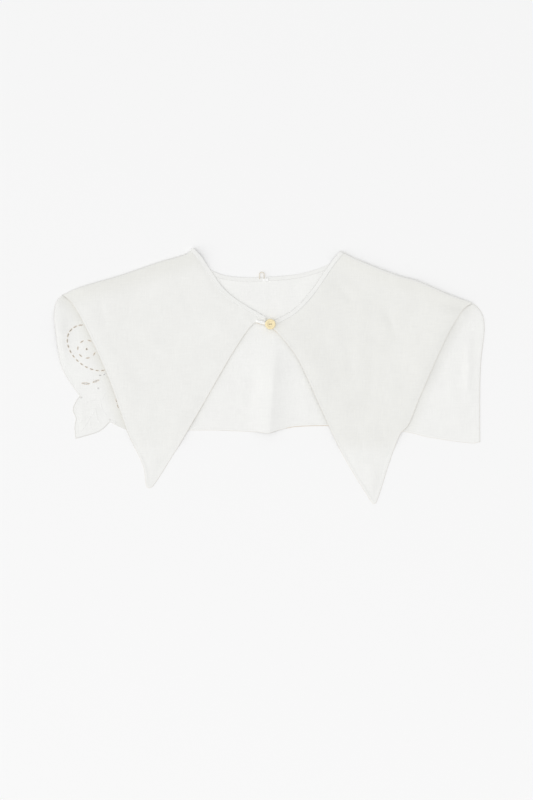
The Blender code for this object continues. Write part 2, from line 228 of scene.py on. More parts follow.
# Radius and height, from the base round the rim and down into the well
BUTTON_PROFILE = [(0.00465, 0.0), (0.00535, 0.0002), (0.00565, 0.0006), (0.00575, 0.0011),
                  (0.00565, 0.0016), (0.00535, 0.0021), (0.00485, 0.0024), (0.00435, 0.0024),
                  (0.0036, 0.0023), (0.0032, 0.0022), (0.0028, 0.0019), (0.0023, 0.0018)]
FLAT_FACE = 0.99
HOLE_STEPS = 24
HOLE_RADIUS = 0.0006
HOLE_HEIGHTS = (-0.001, 0.004)
HOLE_SPACING = 0.0022
SHANK_FOOT = (0.0023, 0.0553)
SHANK_SINK = 0.0002
SHANK_TURNS = 5
SHANK_STEPS = 80
SHANK_COIL_RADIUS = 0.000558
SHANK_THREAD_RADIUS = 0.000378
STRAND_RADIUS = 0.00015
STRAND_APART = 0.00016
# A strand between the holes: share of the way from the middle to a hole, and height over the well
STRAND = [(-1, -0.0006), (-1, 0.0001), (-0.7, 0.0003), (0.7, 0.0003), (1, 0.0001), (1, -0.0006)]
LOOP_START = (-0.015, 0.061)
LOOP_TAPER = 0.0016
LOOP_RADIUS = 0.0008
LOOP_HIGH = 0.0036
LOOP_RISE_SHARE = 0.18
LOOP_CLOSENESS = 0.85
LOOP_TURN_RADIUS = 0.0019
LOOP_STRAND_STEPS = 40
LOOP_TURN_STEPS = 16
HANGING_X = -0.008
HANGING_HALF_WIDTH = 0.0026
HANGING_REACH = 0.006
HANGING_FOOT = 0.0014
HANGING_RADIUS = 0.0006
HANGING_SEAT = 0.001
HANGING_STEPS = 17
TACK = (-0.004, -0.0022)
TACK_LENGTH = 0.0052
TACK_HALF = 0.0017
TACK_ROWS = 8
TACK_RADIUS = TACK_LENGTH / TACK_ROWS / 1.7

# Linen: pitch of its threads in millimetres, waves of the shader's texture per thread, and depths of bumps
THREAD_PITCH = 0.5
TAPE_THREAD_PITCH = 0.36
WAVES = 0.314
WEAVE_DEPTH = 0.00005
SLUB_DEPTH = 0.00012
HEM_DEPTH = 0.00008

# Colours
LINEN_COLOUR = (0.895, 0.895, 0.875)
LINING_COLOUR = (0.908, 0.908, 0.89)
# Painted shade along the cloth's edges and the rims of its openings
EDGE_SHADE_COLOUR = (0.82, 0.79, 0.73)
# Warm tint of the duller tone, and so of the painted shade in it
DULLER_TINT = (1.0, 1.05, 1.35)
BUTTON_COLOUR = (0.94, 0.8, 0.48)
THREAD_COLOURS = {
    "white": (0.9, 0.9, 0.885),
    # aged: the tan of the hanging loop, which stands for its shade
    "aged": (0.8, 0.75, 0.66),
    # browned: aged thread of the cutwork rims, a darker cord on the lower edge, and painted shade in the
    # cords at the fronts' corners
    "browned": (0.78, 0.71, 0.62),
    # greyed: the leaf's edges, grey as painted shade
    "greyed": (0.8, 0.8, 0.775),
    "cord": (1.0, 1.0, 0.99),
    "tan": (0.5, 0.43, 0.29),
}

# Floor: its colour below the middle of the collar, and how much duller it gets per metre in x and y, a
# painted falloff of the light
FLOOR_COLOUR = (0.936, 0.936, 0.936)
FLOOR_FALLOFF = (0.012, 0.034, 0.0)
FLOOR_HALF = 6.0
FLOOR_LEVEL = -0.00005

ROOM_STRENGTH = 0.62
CAMERA_PLACE = (-0.0029, -0.0259, 2.444)

# Creases pressed into the cloth, or left by folding: a trough where the height is below 0
Crease = namedtuple("Crease", "start end bow width height")
CREASE_ENDS = 0.25
LEFT_CREASES = [Crease(*row) for row in (
    ((-0.1885, 0.092), (-0.1825, 0.06), 0.002, 0.0039, -0.00048),
    ((-0.178, 0.098), (-0.17, 0.058), -0.003, 0.0075, 0.0003),
    ((-0.129, 0.034), (-0.07, 0.045), 0.004, 0.0048, -0.00032),
    ((-0.143, 0.027), (-0.092, 0.021), -0.003, 0.0042, -0.00026),
    ((-0.096, 0.108), (-0.09, 0.07), 0.003, 0.0083, -0.00043),
    ((-0.08, 0.119), (-0.05, 0.082), -0.004, 0.009, 0.00035),
    ((-0.122, 0.112), (-0.128, 0.074), 0.003, 0.0072, 0.0003),
    ((-0.147, 0.104), (-0.151, 0.052), -0.004, 0.009, -0.0003),
    ((-0.086, 0.002), (-0.07, 0.014), 0.001, 0.0045, -0.0003),
    ((-0.062, 0.06), (-0.044, 0.04), 0.003, 0.0067, 0.0003),
    ((-0.16, 0.012), (-0.148, -0.03), 0.003, 0.0067, 0.00028),
    ((-0.118, -0.01), (-0.124, -0.06), -0.003, 0.0075, -0.00032),
    ((-0.132, -0.052), (-0.128, -0.1), 0.002, 0.0063, 0.00032),
    ((-0.108, -0.04), (-0.116, -0.074), 0.002, 0.0051, -0.00026),
    ((-0.034, 0.066), (-0.018, 0.06), 0.001, 0.0042, 0.00035),
    ((-0.172, 0.04), (-0.158, 0.024), -0.002, 0.0054, -0.00026),
)]
RIGHT_CREASES = [Crease(*row) for row in (
    ((0.078, 0.098), (0.091, 0.081), 0.001, 0.0046, -0.00085),
    ((0.1275, 0.073), (0.138, 0.048), 0.001, 0.0049, -0.00085),
    ((0.084, 0.04), (0.09, -0.006), 0.002, 0.0046, -0.00037),
    ((0.101, 0.076), (0.102, -0.012), -0.002, 0.0058, 0.00032),
    ((0.114, 0.026), (0.11, -0.018), 0.001, 0.0043, -0.00034),
    ((0.144, -0.002), (0.171, 0.017), 0.003, 0.0043, -0.00034),
    ((0.164, 0.06), (0.176, 0.034), -0.002, 0.0052, -0.00037),
    ((0.18, 0.07), (0.19, 0.052), 0.001, 0.0058, 0.0003),
    ((0.096, -0.052), (0.102, -0.09), 0.002, 0.0046, -0.00041),
    ((0.11, -0.088), (0.118, -0.118), -0.002, 0.0049, 0.00034),
    ((0.058, 0.082), (0.06, 0.018), 0.003, 0.0087, -0.00026),
    ((0.068, 0.118), (0.046, 0.086), 0.002, 0.0072, 0.00034),
    ((0.152, 0.096), (0.146, 0.058), 0.004, 0.009, 0.0003),
    ((0.118, 0.108), (0.112, 0.066), -0.004, 0.0081, -0.00034),
    ((0.132, 0.022), (0.136, -0.03), 0.002, 0.0055, 0.00028),
    ((0.02, 0.058), (0.036, 0.06), 0.001, 0.0038, 0.00026),
    ((0.072, -0.008), (0.084, -0.052), 0.003, 0.0061, 0.00026),
    ((0.122, -0.04), (0.128, -0.072), -0.002, 0.0049, -0.0003),
)]
BACK_CREASES = [Crease(*row) for row in (
    ((-0.032, 0.01), (-0.012, 0.006), 0.006, 0.003, -0.00026),
    ((-0.029, -0.006), (-0.024, -0.042), -0.003, 0.004, 0.00026),
    ((-0.046, -0.03), (-0.02, -0.046), 0.002, 0.0032, -0.00022),
    ((-0.004, 0.106), (-0.005, 0.072), 0.001, 0.0026, 0.00032),
    ((0.026, 0.104), (0.034, 0.09), -0.001, 0.004, -0.00029),
    ((-0.036, 0.1), (-0.024, 0.086), 0.002, 0.0042, 0.00022),
    ((0.036, -0.02), (0.044, -0.048), 0.002, 0.0036, 0.00029),
    ((0.178, -0.03), (0.206, -0.062), 0.003, 0.0046, -0.00029),
    ((0.2, 0.01), (0.206, -0.036), -0.003, 0.0052, 0.00035),
    ((0.2195, 0.046), (0.2185, -0.026), 0.0, 0.0048, 0.0013),
    ((0.212, 0.06), (0.22, 0.072), 0.001, 0.0036, 0.00096),
    ((-0.2335, 0.082), (-0.2275, 0.02), 0.0, 0.0095, 0.003),
    ((-0.229, 0.04), (-0.224, 0.01), 0.001, 0.0032, 0.00038),
    ((-0.206, -0.034), (-0.206, -0.06), 0.001, 0.0034, 0.00048),
    ((-0.2, -0.02), (-0.18, -0.04), 0.002, 0.0036, -0.00032),
)]

# Fronts: plan lines from the neck outwards or downwards, where each point drops off the back, how far its
# outer and front edges are raised, how much duller its cloth is where it lies over the back, and how strong
# the painted shade is on its fold and on the back beside its outer edge
Front = namedtuple("Front", "name layer creases shoulder neckline corner_end front_edge outer_edge leave_y "
                            "edge_lift front_lift duller fold_duller beside_duller")
LEFT = Front(
    name="left",
    layer=1.7,
    creases=LEFT_CREASES,
    shoulder=[(-0.084, 0.141), (-0.0905, 0.135), (-0.12, 0.126), (-0.164, 0.111), (-0.208, 0.098),
              (-0.227, 0.09)],
    neckline=[(-0.084, 0.141), (-0.075, 0.132), (-0.065, 0.117), (-0.051, 0.0975), (-0.0355, 0.084),
              (-0.0035, 0.0645)],
    corner_end=[(-0.0035, 0.0645), (-0.004, 0.06), (-0.0042, 0.0565), (-0.0155, 0.0595)],
    front_edge=[(-0.0155, 0.0595), (-0.0235, 0.051), (-0.043, 0.021), (-0.076, -0.0365),
                (-0.1035, -0.083), (-0.1275, -0.1205), (-0.132, -0.123)],
    outer_edge=[(-0.227, 0.09), (-0.2165, 0.08), (-0.2015, 0.0535), (-0.176, -0.003),
                (-0.1555, -0.0615), (-0.1385, -0.099), (-0.135, -0.121), (-0.132, -0.123)],
    leave_y=-0.067,
    edge_lift=0.0007,
    front_lift=0.0,
    duller=0.012,
    fold_duller=0.048,
    beside_duller=0.07,
)
RIGHT = Front(
    name="right",
    layer=11.3,
    creases=RIGHT_CREASES,
    shoulder=[(0.0785, 0.1375), (0.1, 0.1275), (0.144, 0.1105), (0.1615, 0.106), (0.199, 0.09),
              (0.224, 0.081)],
    neckline=[(0.0785, 0.1375), (0.068, 0.1245), (0.0505, 0.099), (0.039, 0.0845), (0.025, 0.0715),
              (0.0075, 0.062), (-0.003, 0.0595)],
    corner_end=[(-0.003, 0.0595), (-0.0015, 0.0555)],
    front_edge=[(-0.0015, 0.0555), (0.0055, 0.051), (0.0175, 0.038), (0.032, 0.018), (0.057, -0.036),
                (0.081, -0.0865), (0.1105, -0.1355), (0.1145, -0.1405)],
    outer_edge=[(0.224, 0.081), (0.2165, 0.0765), (0.209, 0.0675), (0.1925, 0.038), (0.1635, -0.028),
                (0.153, -0.0535), (0.144, -0.0635), (0.1325, -0.094), (0.118, -0.1385),
                (0.1145, -0.1405)],
    leave_y=-0.068,
    edge_lift=0.0,
    front_lift=0.0018,
    duller=0.034,
    fold_duller=0.02,
    beside_duller=0.038,
)

# The back panel's edges, anticlockwise from its left shoulder, apart from the shoulder seams
NECK_EDGE = [(0.0743, 0.1323), (0.071, 0.1265), (0.0575, 0.1193), (0.034, 0.1125), (0.018, 0.1102),
             (-0.01, 0.1085), (-0.0375, 0.109), (-0.0555, 0.1127), (-0.0728, 0.1227), (-0.0791, 0.1361)]
NECK_MIDDLE = 5
LEFT_FOLD_END = [(-0.2221, 0.085), (-0.2277, 0.0895)]
LEFT_END = [(-0.2277, 0.0895), (-0.2335, 0.0825), (-0.2363, 0.07), (-0.2355, 0.056), (-0.2295, 0.015),
            (-0.2235, 0.0005), (-0.2085, -0.0215)]
LEAF_SIDE = [(-0.2085, -0.0215), (-0.2135, -0.029), (-0.216, -0.0375), (-0.2127, -0.0457),
             (-0.214, -0.056), (-0.213, -0.0685)]
LEAF_FOOT = [(-0.213, -0.0685), (-0.2055, -0.0665), (-0.186, -0.06), (-0.175, -0.05)]
SCALLOP = [(-0.175, -0.05), (-0.166, -0.055), (-0.1565, -0.059)]
LOWER_EDGES = [
    [(-0.1565, -0.059), (-0.075, -0.0592), (-0.052, -0.0595), (-0.012, -0.0612)],
    [(-0.012, -0.0612), (-0.001, -0.0625), (0.009, -0.0596), (0.018, -0.0573)],
    [(0.018, -0.0573), (0.03, -0.0553), (0.06, -0.0543), (0.075, -0.0548)],
    [(0.075, -0.0548), (0.148, -0.0607), (0.177, -0.0672), (0.223, -0.0735), (0.232, -0.0722)],
]
RIGHT_END = [(0.232, -0.0722), (0.2317, -0.025), (0.233, 0.017), (0.2367, 0.051), (0.2352, 0.0665),
             (0.231, 0.074), (0.2248, 0.0802)]
RIGHT_FOLD_END = [(0.2248, 0.0802), (0.2175, 0.0767)]
CUTWORK_EDGES = ("left end", "leaf side", "leaf foot", "scallop")
HEMMED_EDGES = (*CUTWORK_EDGES, "lower edge", "right end")

# Openings of the cutwork: a lens that is an ellipse at point 0 and sharper at its ends above 0
Opening = namedtuple("Opening", "x y turn length width point")
LEAF_OPENINGS = [
    Opening(-0.2016, -0.0078, -4, 0.0085, 0.0014, 0.7),
    Opening(-0.1905, -0.0052, 20, 0.0072, 0.0012, 0.7),
]
EDGE_SLOTS = [
    Opening(-0.1676, -0.0266, -68, 0.0036, 0.0012, 0.3),
    Opening(-0.166, -0.0328, -68, 0.003, 0.0011, 0.3),
]
EYELETS = [
    Opening(-0.1878, -0.0128, 0, 0.0019, 0.0019, 0),
    Opening(-0.186, 0.0012, 0, 0.0016, 0.0016, 0),
    Opening(-0.1812, 0.0022, 0, 0.0016, 0.0016, 0),
    Opening(-0.2064, -0.0232, 0, 0.0013, 0.0013, 0),
    Opening(-0.1752, -0.0475, 0, 0.0014, 0.0014, 0),
    Opening(-0.169, -0.0505, 0, 0.0014, 0.0014, 0),
]
LEAF_VEINS = [
    [(-0.18, -0.019), (-0.189, -0.033), (-0.1985, -0.048), (-0.2075, -0.062)],
    [(-0.185, -0.0265), (-0.195, -0.027), (-0.2035, -0.03)],
    [(-0.1905, -0.0355), (-0.201, -0.0375), (-0.2085, -0.042)],
    [(-0.196, -0.044), (-0.204, -0.0475), (-0.209, -0.052)],
    [(-0.185, -0.0265), (-0.1835, -0.036), (-0.179, -0.043)],
    [(-0.1905, -0.0355), (-0.1895, -0.045), (-0.185, -0.053)],
    [(-0.196, -0.044), (-0.1965, -0.053), (-0.194, -0.059)],
]


# ---- small maths

def smooth_step(share):
    share = np.clip(share, 0.0, 1.0)
    return share * share * (3 - 2 * share)


def mix(start, end, share):
    return start + (end - start) * share


def unit(vectors):
    return vectors / np.linalg.norm(vectors, axis=-1, keepdims=True)


def rotated(plan, angle):
    """Plan vectors turned anticlockwise."""
    x, y = np.asarray(plan).T
    cos = math.cos(angle)
    sin = math.sin(angle)
    return np.array([x * cos - y * sin, x * sin + y * cos]).T


def leftward(along):
    """Plan vectors turned a quarter to their left."""
    return np.stack([-along[..., 1], along[..., 0]], axis=-1)


def full_turn(steps):
    return np.linspace(0, 2 * math.pi, steps, endpoint=False)


def looped(line):
    """A line that comes back to its first point."""
    return np.vstack([line, line[:1]])


def hump(share):
    """Up from 0 and back to 0 at 1, gently at both ends."""
    return np.sin(math.pi * np.minimum(1.0, share)) ** 2


def towards_end(share, reach):
    """0 until a reach before the end of the shares, and up to 1 at it."""
    return smooth_step((share - 1 + reach) / reach)


def line_lengths(line):
    return np.concatenate([[0.0], np.cumsum(np.linalg.norm(np.diff(line, axis=0), axis=1))])


def at_lengths(line, wanted):
    """Points of a polyline at distances along it."""
    lengths = line_lengths(line)
    return np.stack([np.interp(wanted, lengths, axis) for axis in line.T], axis=1)


def smooth_line(points):
    """Dense polyline along a curve through the given points, that turns gently at each of them."""
    points = np.array(points, float)
    padded = np.vstack([2 * points[0] - points[1], points, 2 * points[-1] - points[-2]])
    ways = unit(padded[2:] - padded[:-2])
    share = np.arange(CURVE_STEPS)[:, None] / CURVE_STEPS
    runs = []
    for start, end, leaving, arriving in zip(points, points[1:], ways, ways[1:]):
        swing = leaving * share * (1 - share) ** 2 - arriving * share ** 2 * (1 - share)
        runs.append(mix(start, end, smooth_step(share)) + np.linalg.norm(end - start) * swing)
    return np.vstack(runs + [points[-1:]])


def curve(points, shares):
    line = smooth_line(points)
    return at_lengths(line, np.asarray(shares) * line_lengths(line)[-1])


def paced(line, spacing):
    """A polyline with its points about a spacing apart, its ends among them."""
    length = line_lengths(line)[-1]
    return at_lengths(line, np.linspace(0, length, max(1, round(length / spacing)) + 1))


def crowded(steps, both_ends):
    """Shares from 0 to 1 that lie closer together at the end, or at both ends."""
    even = np.linspace(0, 1, steps + 1)
    if both_ends:
        shares = even - FRONT_CROWDING * np.sin(2 * math.pi * even) / (2 * math.pi)
        return np.sort(np.append(shares, [EDGE_RING, 1 - EDGE_RING]))
    shares = even + FRONT_CROWDING * np.sin(math.pi * even) / math.pi
    return np.sort(np.append(shares, 1 - EDGE_RING))


def edge_distance(points, line):
    """Distance in plan from each point to a polyline."""
    nearest = np.full(len(points), np.inf)
    for start, end in zip(line, line[1:]):
        along = end - start
        share = np.clip((points - start) @ along / max(along @ along, TINY), 0, 1)
        nearest = np.minimum(nearest, np.linalg.norm(points - start - share[:, None] * along, axis=1))
    return nearest


def inside(points, outline):
    """Whether each point lies inside a closed plan outline."""
    crossed = np.zeros(len(points), bool)
    for start, end in zip(outline, np.roll(outline, -1, axis=0)):
        rise = end[1] - start[1]
        if rise:
            x = start[0] + (points[:, 1] - start[1]) * (end[0] - start[0]) / rise
            crossed ^= ((start[1] > points[:, 1]) != (end[1] > points[:, 1])) & (points[:, 0] < x)
    return crossed


def soft_noise(points, size, layer):
    """Smooth bumps of about a size, from -1 to 1, the same each time."""
    return np.array([noise.noise((x / size, y / size, layer)) for x, y in points])


def unevenness(plan, height, sizes, layer):
    """Heights of washed cloth, which never lies quite flat: broad bumps, and fine ones."""
    broad = height * soft_noise(plan, sizes[0], layer)
    return broad + FINE_UNEVEN * soft_noise(plan, sizes[1], layer + 5)


def crease_relief(points, creases):
    relief = np.zeros(len(points))
    for crease in creases:
        start = np.array(crease.start)
        along = np.array(crease.end) - start
        length = np.linalg.norm(along)
        share = (points - start) @ along / length ** 2
        inner = np.clip(share, 0, 1)
        off = (points - start) @ leftward(along) / length - crease.bow * 4 * inner * (1 - inner)
        past = (share - inner) * length
        taper = mix(CREASE_ENDS, 1, np.sin(math.pi * inner))
        relief += crease.height * taper * np.exp(-(off ** 2 + past ** 2) / crease.width ** 2)
    return relief


def swell(points):
    """Rise of the back, and of the fronts over it: crease, mound at the cutwork, right-hand slope."""
    x, y = points.T
    side = x - CREASE_FOOT[0] - CREASE_SLANT * (y - CREASE_FOOT[1])
    left = smooth_step(1 + side / CREASE_LEFT)
    right = np.clip(1 - side / CREASE_RIGHT, 0, 1) ** 2
    crease = smooth_step((CREASE_TOP_Y - y) / CREASE_RISE) * np.where(side > 0, right, left)
    mound = np.exp(-(np.linalg.norm(points - MOUND, axis=1) / MOUND_REACH) ** 2)
    edge = np.interp(y, *np.array(RIGHT.outer_edge)[::-1, ::-1].T)
    seam = np.interp(x, *shoulder_seam(RIGHT)[::-SEAM_STRIDE][::-1].T)
    slope = smooth_step((edge + SLOPE_OUT - x) / (SLOPE_OUT + SLOPE_IN))
    slope *= smooth_step((x - edge + SLOPE_START) / (SLOPE_START - SLOPE_IN))
    slope *= smooth_step((y - SLOPE_FOOT_Y) / (SLOPE_TOP_Y - SLOPE_FOOT_Y))
    slope *= smooth_step((seam - y) / SLOPE_SEAM)
    return CREASE_HEIGHT * crease + MOUND_HEIGHT * mound + SLOPE_HEIGHT * slope


def hem_walls(distance):
    """Thickness at each point: more in the hem, and less at its rounded edge."""
    hem_share = 1 - smooth_step((distance - HEM_WIDTH) / HEM_STEP)
    return mix(LINEN, HEM, hem_share) * mix(EDGE_THIN, 1.0, smooth_step(distance / EDGE_ROUND))


# ---- objects

def new_object(name, points, faces, material):
    mesh = bpy.data.meshes.new(name)
    mesh.from_pydata([tuple(point) for point in np.asarray(points, float)], [],
                     [tuple(int(corner) for corner in face) for face in faces])
    mesh.shade_smooth()
    mesh.materials.append(material)
    made = bpy.data.objects.new(name, mesh)
    bpy.context.scene.collection.objects.link(made)
    return made


def set_grain(cloth, grain, hem, edge, tone):
    """Gives a cloth its thread directions and distances from hem and edge, in millimetres, and its tone."""
    tones = cloth.data.attributes.new("tone", "FLOAT", "POINT")
    tones.data.foreach_set("value", np.asarray(tone, np.float32))
    corners = np.empty(len(cloth.data.loops), np.int32)
    cloth.data.loops.foreach_get("vertex_index", corners)
    for name, values in (("grain", grain), ("edges", np.column_stack([hem, edge]))):
        layer = cloth.data.uv_layers.new(name=name)
        layer.uv.foreach_set("vector", (values[corners] * 1000).astype(np.float32).ravel())


def thicken(cloth, walls):
    """Gives a surface its wall, inward from its outer side, with a thickness for each point."""
    group = cloth.vertex_groups.new(name="wall")
    for index, wall in enumerate(walls):
        group.add([index], float(wall) / HEM, "REPLACE")
    solid = cloth.modifiers.new("Wall", "SOLIDIFY")
    solid.thickness = HEM
    solid.offset = -1.0
    solid.vertex_group = "wall"
    solid.use_quality_normals = True


def grid_faces(columns, rows, flip):
    """Quads of a grid whose points are listed column by column."""
    corner = (np.arange(columns - 1)[:, None] * rows + np.arange(rows - 1)).ravel()
    faces = np.stack([corner, corner + 1, corner + rows + 1, corner + rows], axis=1)
    return faces[:, ::-1] if flip else faces


def ring_faces(rings, sides, ends, flip=False):
    """Quads between rings of points, listed ring by ring, with the ends open, joined or capped."""
    near = np.arange(rings * sides).reshape(rings, sides)
    beside = np.roll(near, -1, axis=1)
    quads = np.stack([near, np.roll(near, -1, axis=0), np.roll(beside, -1, axis=0), beside], axis=-1)
    quads = (quads if ends == "joined" else quads[:-1]).reshape(-1, 4)
    faces = (quads[:, [0, 3, 2, 1]] if flip else quads).tolist()
    if ends == "capped":
        faces += [(cap[::-1] if flip else cap).tolist() for cap in (near[0], near[-1, ::-1])]
    return faces


def joined(name, parts, material):
    """One object of several (points, faces)."""
    points = np.vstack([part[0] for part in parts])
    starts = np.cumsum([0] + [len(part[0]) for part in parts])
    faces = [[corner + start for corner in face] for start, part in zip(starts, parts) for face in part[1]]
    return new_object(name, points, faces, material)


def tube(route, radius, closed=False, up=(0.0, 0.0, 1.0), wrapped=True, taper=0.0):
    """Points and faces of a cord along a route, ridged by its wrapping thread and flat on the table."""
    route = np.asarray(route, float)
    if closed:
        route = looped(route)
    length = line_lengths(route)[-1]
    route = paced(route, WRAP_PITCH / 4 if wrapped else radius)
    if closed:
        route = route[:-1]
        along = np.roll(route, -1, axis=0) - np.roll(route, 1, axis=0)
    else:
        along = np.gradient(route, axis=0)
    across = unit(np.cross(along, up))
    top = unit(np.cross(across, along))
    travel = np.linspace(0, length, len(route), endpoint=not closed)
    turns = max(1, round(length / WRAP_PITCH))
    ridge = 1 - WRAP_DEPTH * wrapped * (0.5 - 0.5 * np.cos(2 * math.pi * turns * travel / length))
    if taper:
        ridge *= mix(TAPERED_END, 1.0, smooth_step(np.minimum(travel, length - travel) / taper))
    elif not closed:
        ridge[[0, -1]] *= BLUNT_END
    angle = full_turn(CORD_SIDES)[:, None]
    around = across[:, None] * np.cos(angle) + top[:, None] * np.sin(angle)
    points = (route[:, None] + around * (radius * ridge)[:, None, None]).reshape(-1, 3)
    points[:, 2] = np.maximum(points[:, 2], 0.0)
    return points, ring_faces(len(route), CORD_SIDES, "joined" if closed else "capped")


def laid(surface, plan, cord, **shape):
    """A cord along a plan line, a little sunk into the surface."""
    radius, sink = cord
    return tube(surface.on(plan, -sink), radius, **shape)


class Surface:
    """Outer side of a panel, on which other things are placed from above."""

    def __init__(self, points, faces):
        self.tree = BVHTree.FromPolygons(np.asarray(points).tolist(), np.asarray(faces).tolist())

    def height(self, x, y):
        place = self.tree.ray_cast(Vector((x, y, ABOVE_ALL)), Vector((0, 0, -1)))[0]
        if place is None:
            place = self.tree.find_nearest(Vector((x, y, BESIDE_EDGE)))[0]
        return place.z

    def on(self, plan, rise=0.0):
        """Points of the plan, raised onto the surface."""
        return np.array([(x, y, self.height(x, y) + rise) for x, y in plan])


# ---- fronts

def coons_patch(top, bottom, left, right, across, down):
    """Plan points, by column and row, that fill four sides."""
    a = across[:, None, None]
    b = down[None, :, None]
    corners = mix(mix(top[0], top[-1], a), mix(bottom[0], bottom[-1], a), b)
    return mix(top[:, None], bottom[:, None], b) + mix(left[None], right[None], a) - corners


def shoulder_line(front, insets, shares):
    """The shoulder outline at shares of its length, moved into the front by an inset for each."""
    first = np.array(front.shoulder[0])
    last = np.array(front.shoulder[-1])
    square = unit(np.array([first[1] - last[1], last[0] - first[0]]))
    square *= -np.sign(square[1])
    sides = []
    for side in (front.neckline, front.outer_edge):
        along = np.array(side[1]) - np.array(side[0])
        sides.append(along / (along @ square))
    inward = mix(sides[0], sides[1], np.asarray(shares)[:, None])
    return curve(front.shoulder, shares) + inward * np.broadcast_to(insets, len(shares))[:, None]


def front_sides(front, across, down, radii):
    """Plan curves round a front: the fold's crest, front edge with its corner, neckline, outer edge."""
    crest = shoulder_line(front, radii, across)
    neckline = curve([crest[0], *front.neckline[1:]], down)
    outer = curve([crest[-1], *front.outer_edge[1:]], down)
    corner = across < CORNER_SHARE
    edge = np.vstack([curve(front.corner_end, across[corner] / CORNER_SHARE),
                      curve(front.front_edge, (across[~corner] - CORNER_SHARE) / (1 - CORNER_SHARE))])
    return crest, edge, neckline, outer


def fold_columns(front, across, radii):
    """Each column from the end of the turning, on the table, round the fold and up to its crest."""
    neck = shoulder_line(front, 0.0, np.zeros(1))[0]
    rows = []
    for inset in np.linspace(TURNING, FOLD_RADIUS, TURNING_STEPS, endpoint=False):
        rows.append((shoulder_line(front, inset, across), 0.0))
    for angle in np.linspace(math.pi, 0, FOLD_STEPS, endpoint=False):
        line = shoulder_line(front, radii * (1 - math.sin(angle)), across)
        rows.append((line, (1 + math.cos(angle)) / 2))
    placed = []
    for line, share in rows:
        foot = NECK_LIFT * (1 - smooth_step(np.linalg.norm(line - neck, axis=1) / NECK_LIFT_REACH))
        placed.append(np.column_stack([line, mix(foot, 2 * radii, share)]))
    return np.stack(placed, axis=1)


def hemmed_line(front):
    """The hemmed edges of a front, from its corner round its point to its outer edge."""
    return np.vstack([smooth_line(front.corner_end), smooth_line(front.front_edge),
                      smooth_line(front.outer_edge)[::-1]])


def front_relief(front, plan):
    """Small heights of a front's surface, and each point's distance from its hemmed edges."""
    distance = edge_distance(plan, hemmed_line(front))
    neck = edge_distance(plan, smooth_line(front.neckline))
    distance = np.where(neck < BINDING_TOP, np.maximum(distance, HEM_WIDTH + HEM_STEP), distance)
    relief = crease_relief(plan, front.creases)
    relief += unevenness(plan, FRONT_UNEVEN, FRONT_UNEVEN_SIZES, front.layer)
    relief -= EDGE_DROOP * np.exp(-(distance / EDGE_DROOP_REACH) ** 2) * smooth_step(neck / NECK_REACH)
    relief += NECK_LEVEL * (1 - smooth_step(neck / NECK_REACH))
    return relief, distance


def front_heights(front, plan, across, down, radii):
    """Height, distance from the hemmed edges and tone of each point of a front inside its fold's crest."""
    shape = plan.shape[:2]
    relief, distance = (values.reshape(shape) for values in front_relief(front, plan.reshape(-1, 2)))
    fold_share = 1 - smooth_step(np.linalg.norm(plan - plan[:, :1], axis=2) / FOLD_FALL)
    drop = smooth_step((front.leave_y - plan[:, :, 1]) / DROP_LENGTH)
    level = mix(FRONT_LEVEL, POINT_LEVEL, drop) + swell(plan.reshape(-1, 2)).reshape(shape) * (1 - drop)
    level += front.edge_lift * towards_end(across, LIFT_WIDTH)[:, None] * hump(down / LIFT_LENGTH)
    front_hump = hump(across / FRONT_LIFT_REACH)[:, None]
    level += front.front_lift * front_hump * towards_end(down, FRONT_LIFT_ROWS)
    height = mix(level + relief, 2 * radii[:, None], fold_share)
    # Tone: painted shade on and near the fold, and duller where the front lies over the back
    tone = 1 - front.fold_duller * fold_share - front.duller * (1 - drop)
    return np.maximum(height, hem_walls(distance) + OFF_TABLE), distance, tone


def make_front(front, material):
    """A pointed front, from its turning on the table, over the shoulder fold, to its hemmed edges."""
    across = crowded(FRONT_COLUMNS, True)
    down = crowded(FRONT_ROWS, False)
    line = curve(front.shoulder, across)
    radii = FOLD_RADIUS * (1 - FOLD_SLACK * (0.5 + 0.5 * soft_noise(line, FOLD_WAVE, front.layer)))
    radii *= 1 - FOLD_END_FLATTER * towards_end(across, FOLD_END)
    crest, edge, neckline, outer = front_sides(front, across, down, radii)
    plan = coons_patch(crest, edge, neckline, outer, across, down)
    height, hem, tone = front_heights(front, plan, across, down, radii)
    fold = fold_columns(front, across, radii)
    folded = fold.shape[1]
    grid = np.concatenate([fold, np.dstack([plan, height])], axis=1)
    steps = np.linalg.norm(np.diff(grid[:, :folded + 1], axis=1), axis=2)
    grain = grid[:, :, :2].copy()
    grain[:, :folded, 1] = crest[:, None, 1] + np.cumsum(steps[:, ::-1], axis=1)[:, ::-1]
    hem = np.pad(hem, ((0, 0), (folded, 0)), constant_values=FAR).ravel()
    # The fold's own columns take the fold's full painted shade
    tone = np.pad(tone, ((0, 0), (folded, 0)), constant_values=1 - front.fold_duller)
    points = grid.reshape(-1, 3)
    faces = grid_faces(*grid.shape[:2], front is LEFT)
    cloth = new_object(f"linen_front_{front.name}", points, faces, material)
    set_grain(cloth, grain.reshape(-1, 2), hem, hem, tone.ravel())
    thicken(cloth, hem_walls(hem))
    return cloth, Surface(points, faces), grid


# ---- back

def shoulder_seam(front):
    """The back's edge at a shoulder seam, from the neck outwards."""
    return shoulder_line(front, TURNING + SEAM_GAP, np.linspace(0, 1, SEAM_STEPS))


def meeting(points, start=None, end=None):
    """A smooth line through points whose first or last point is moved to meet its neighbour."""
    first = points[0] if start is None else start
    last = points[-1] if end is None else end
    return smooth_line([first, *points[1:-1], last])


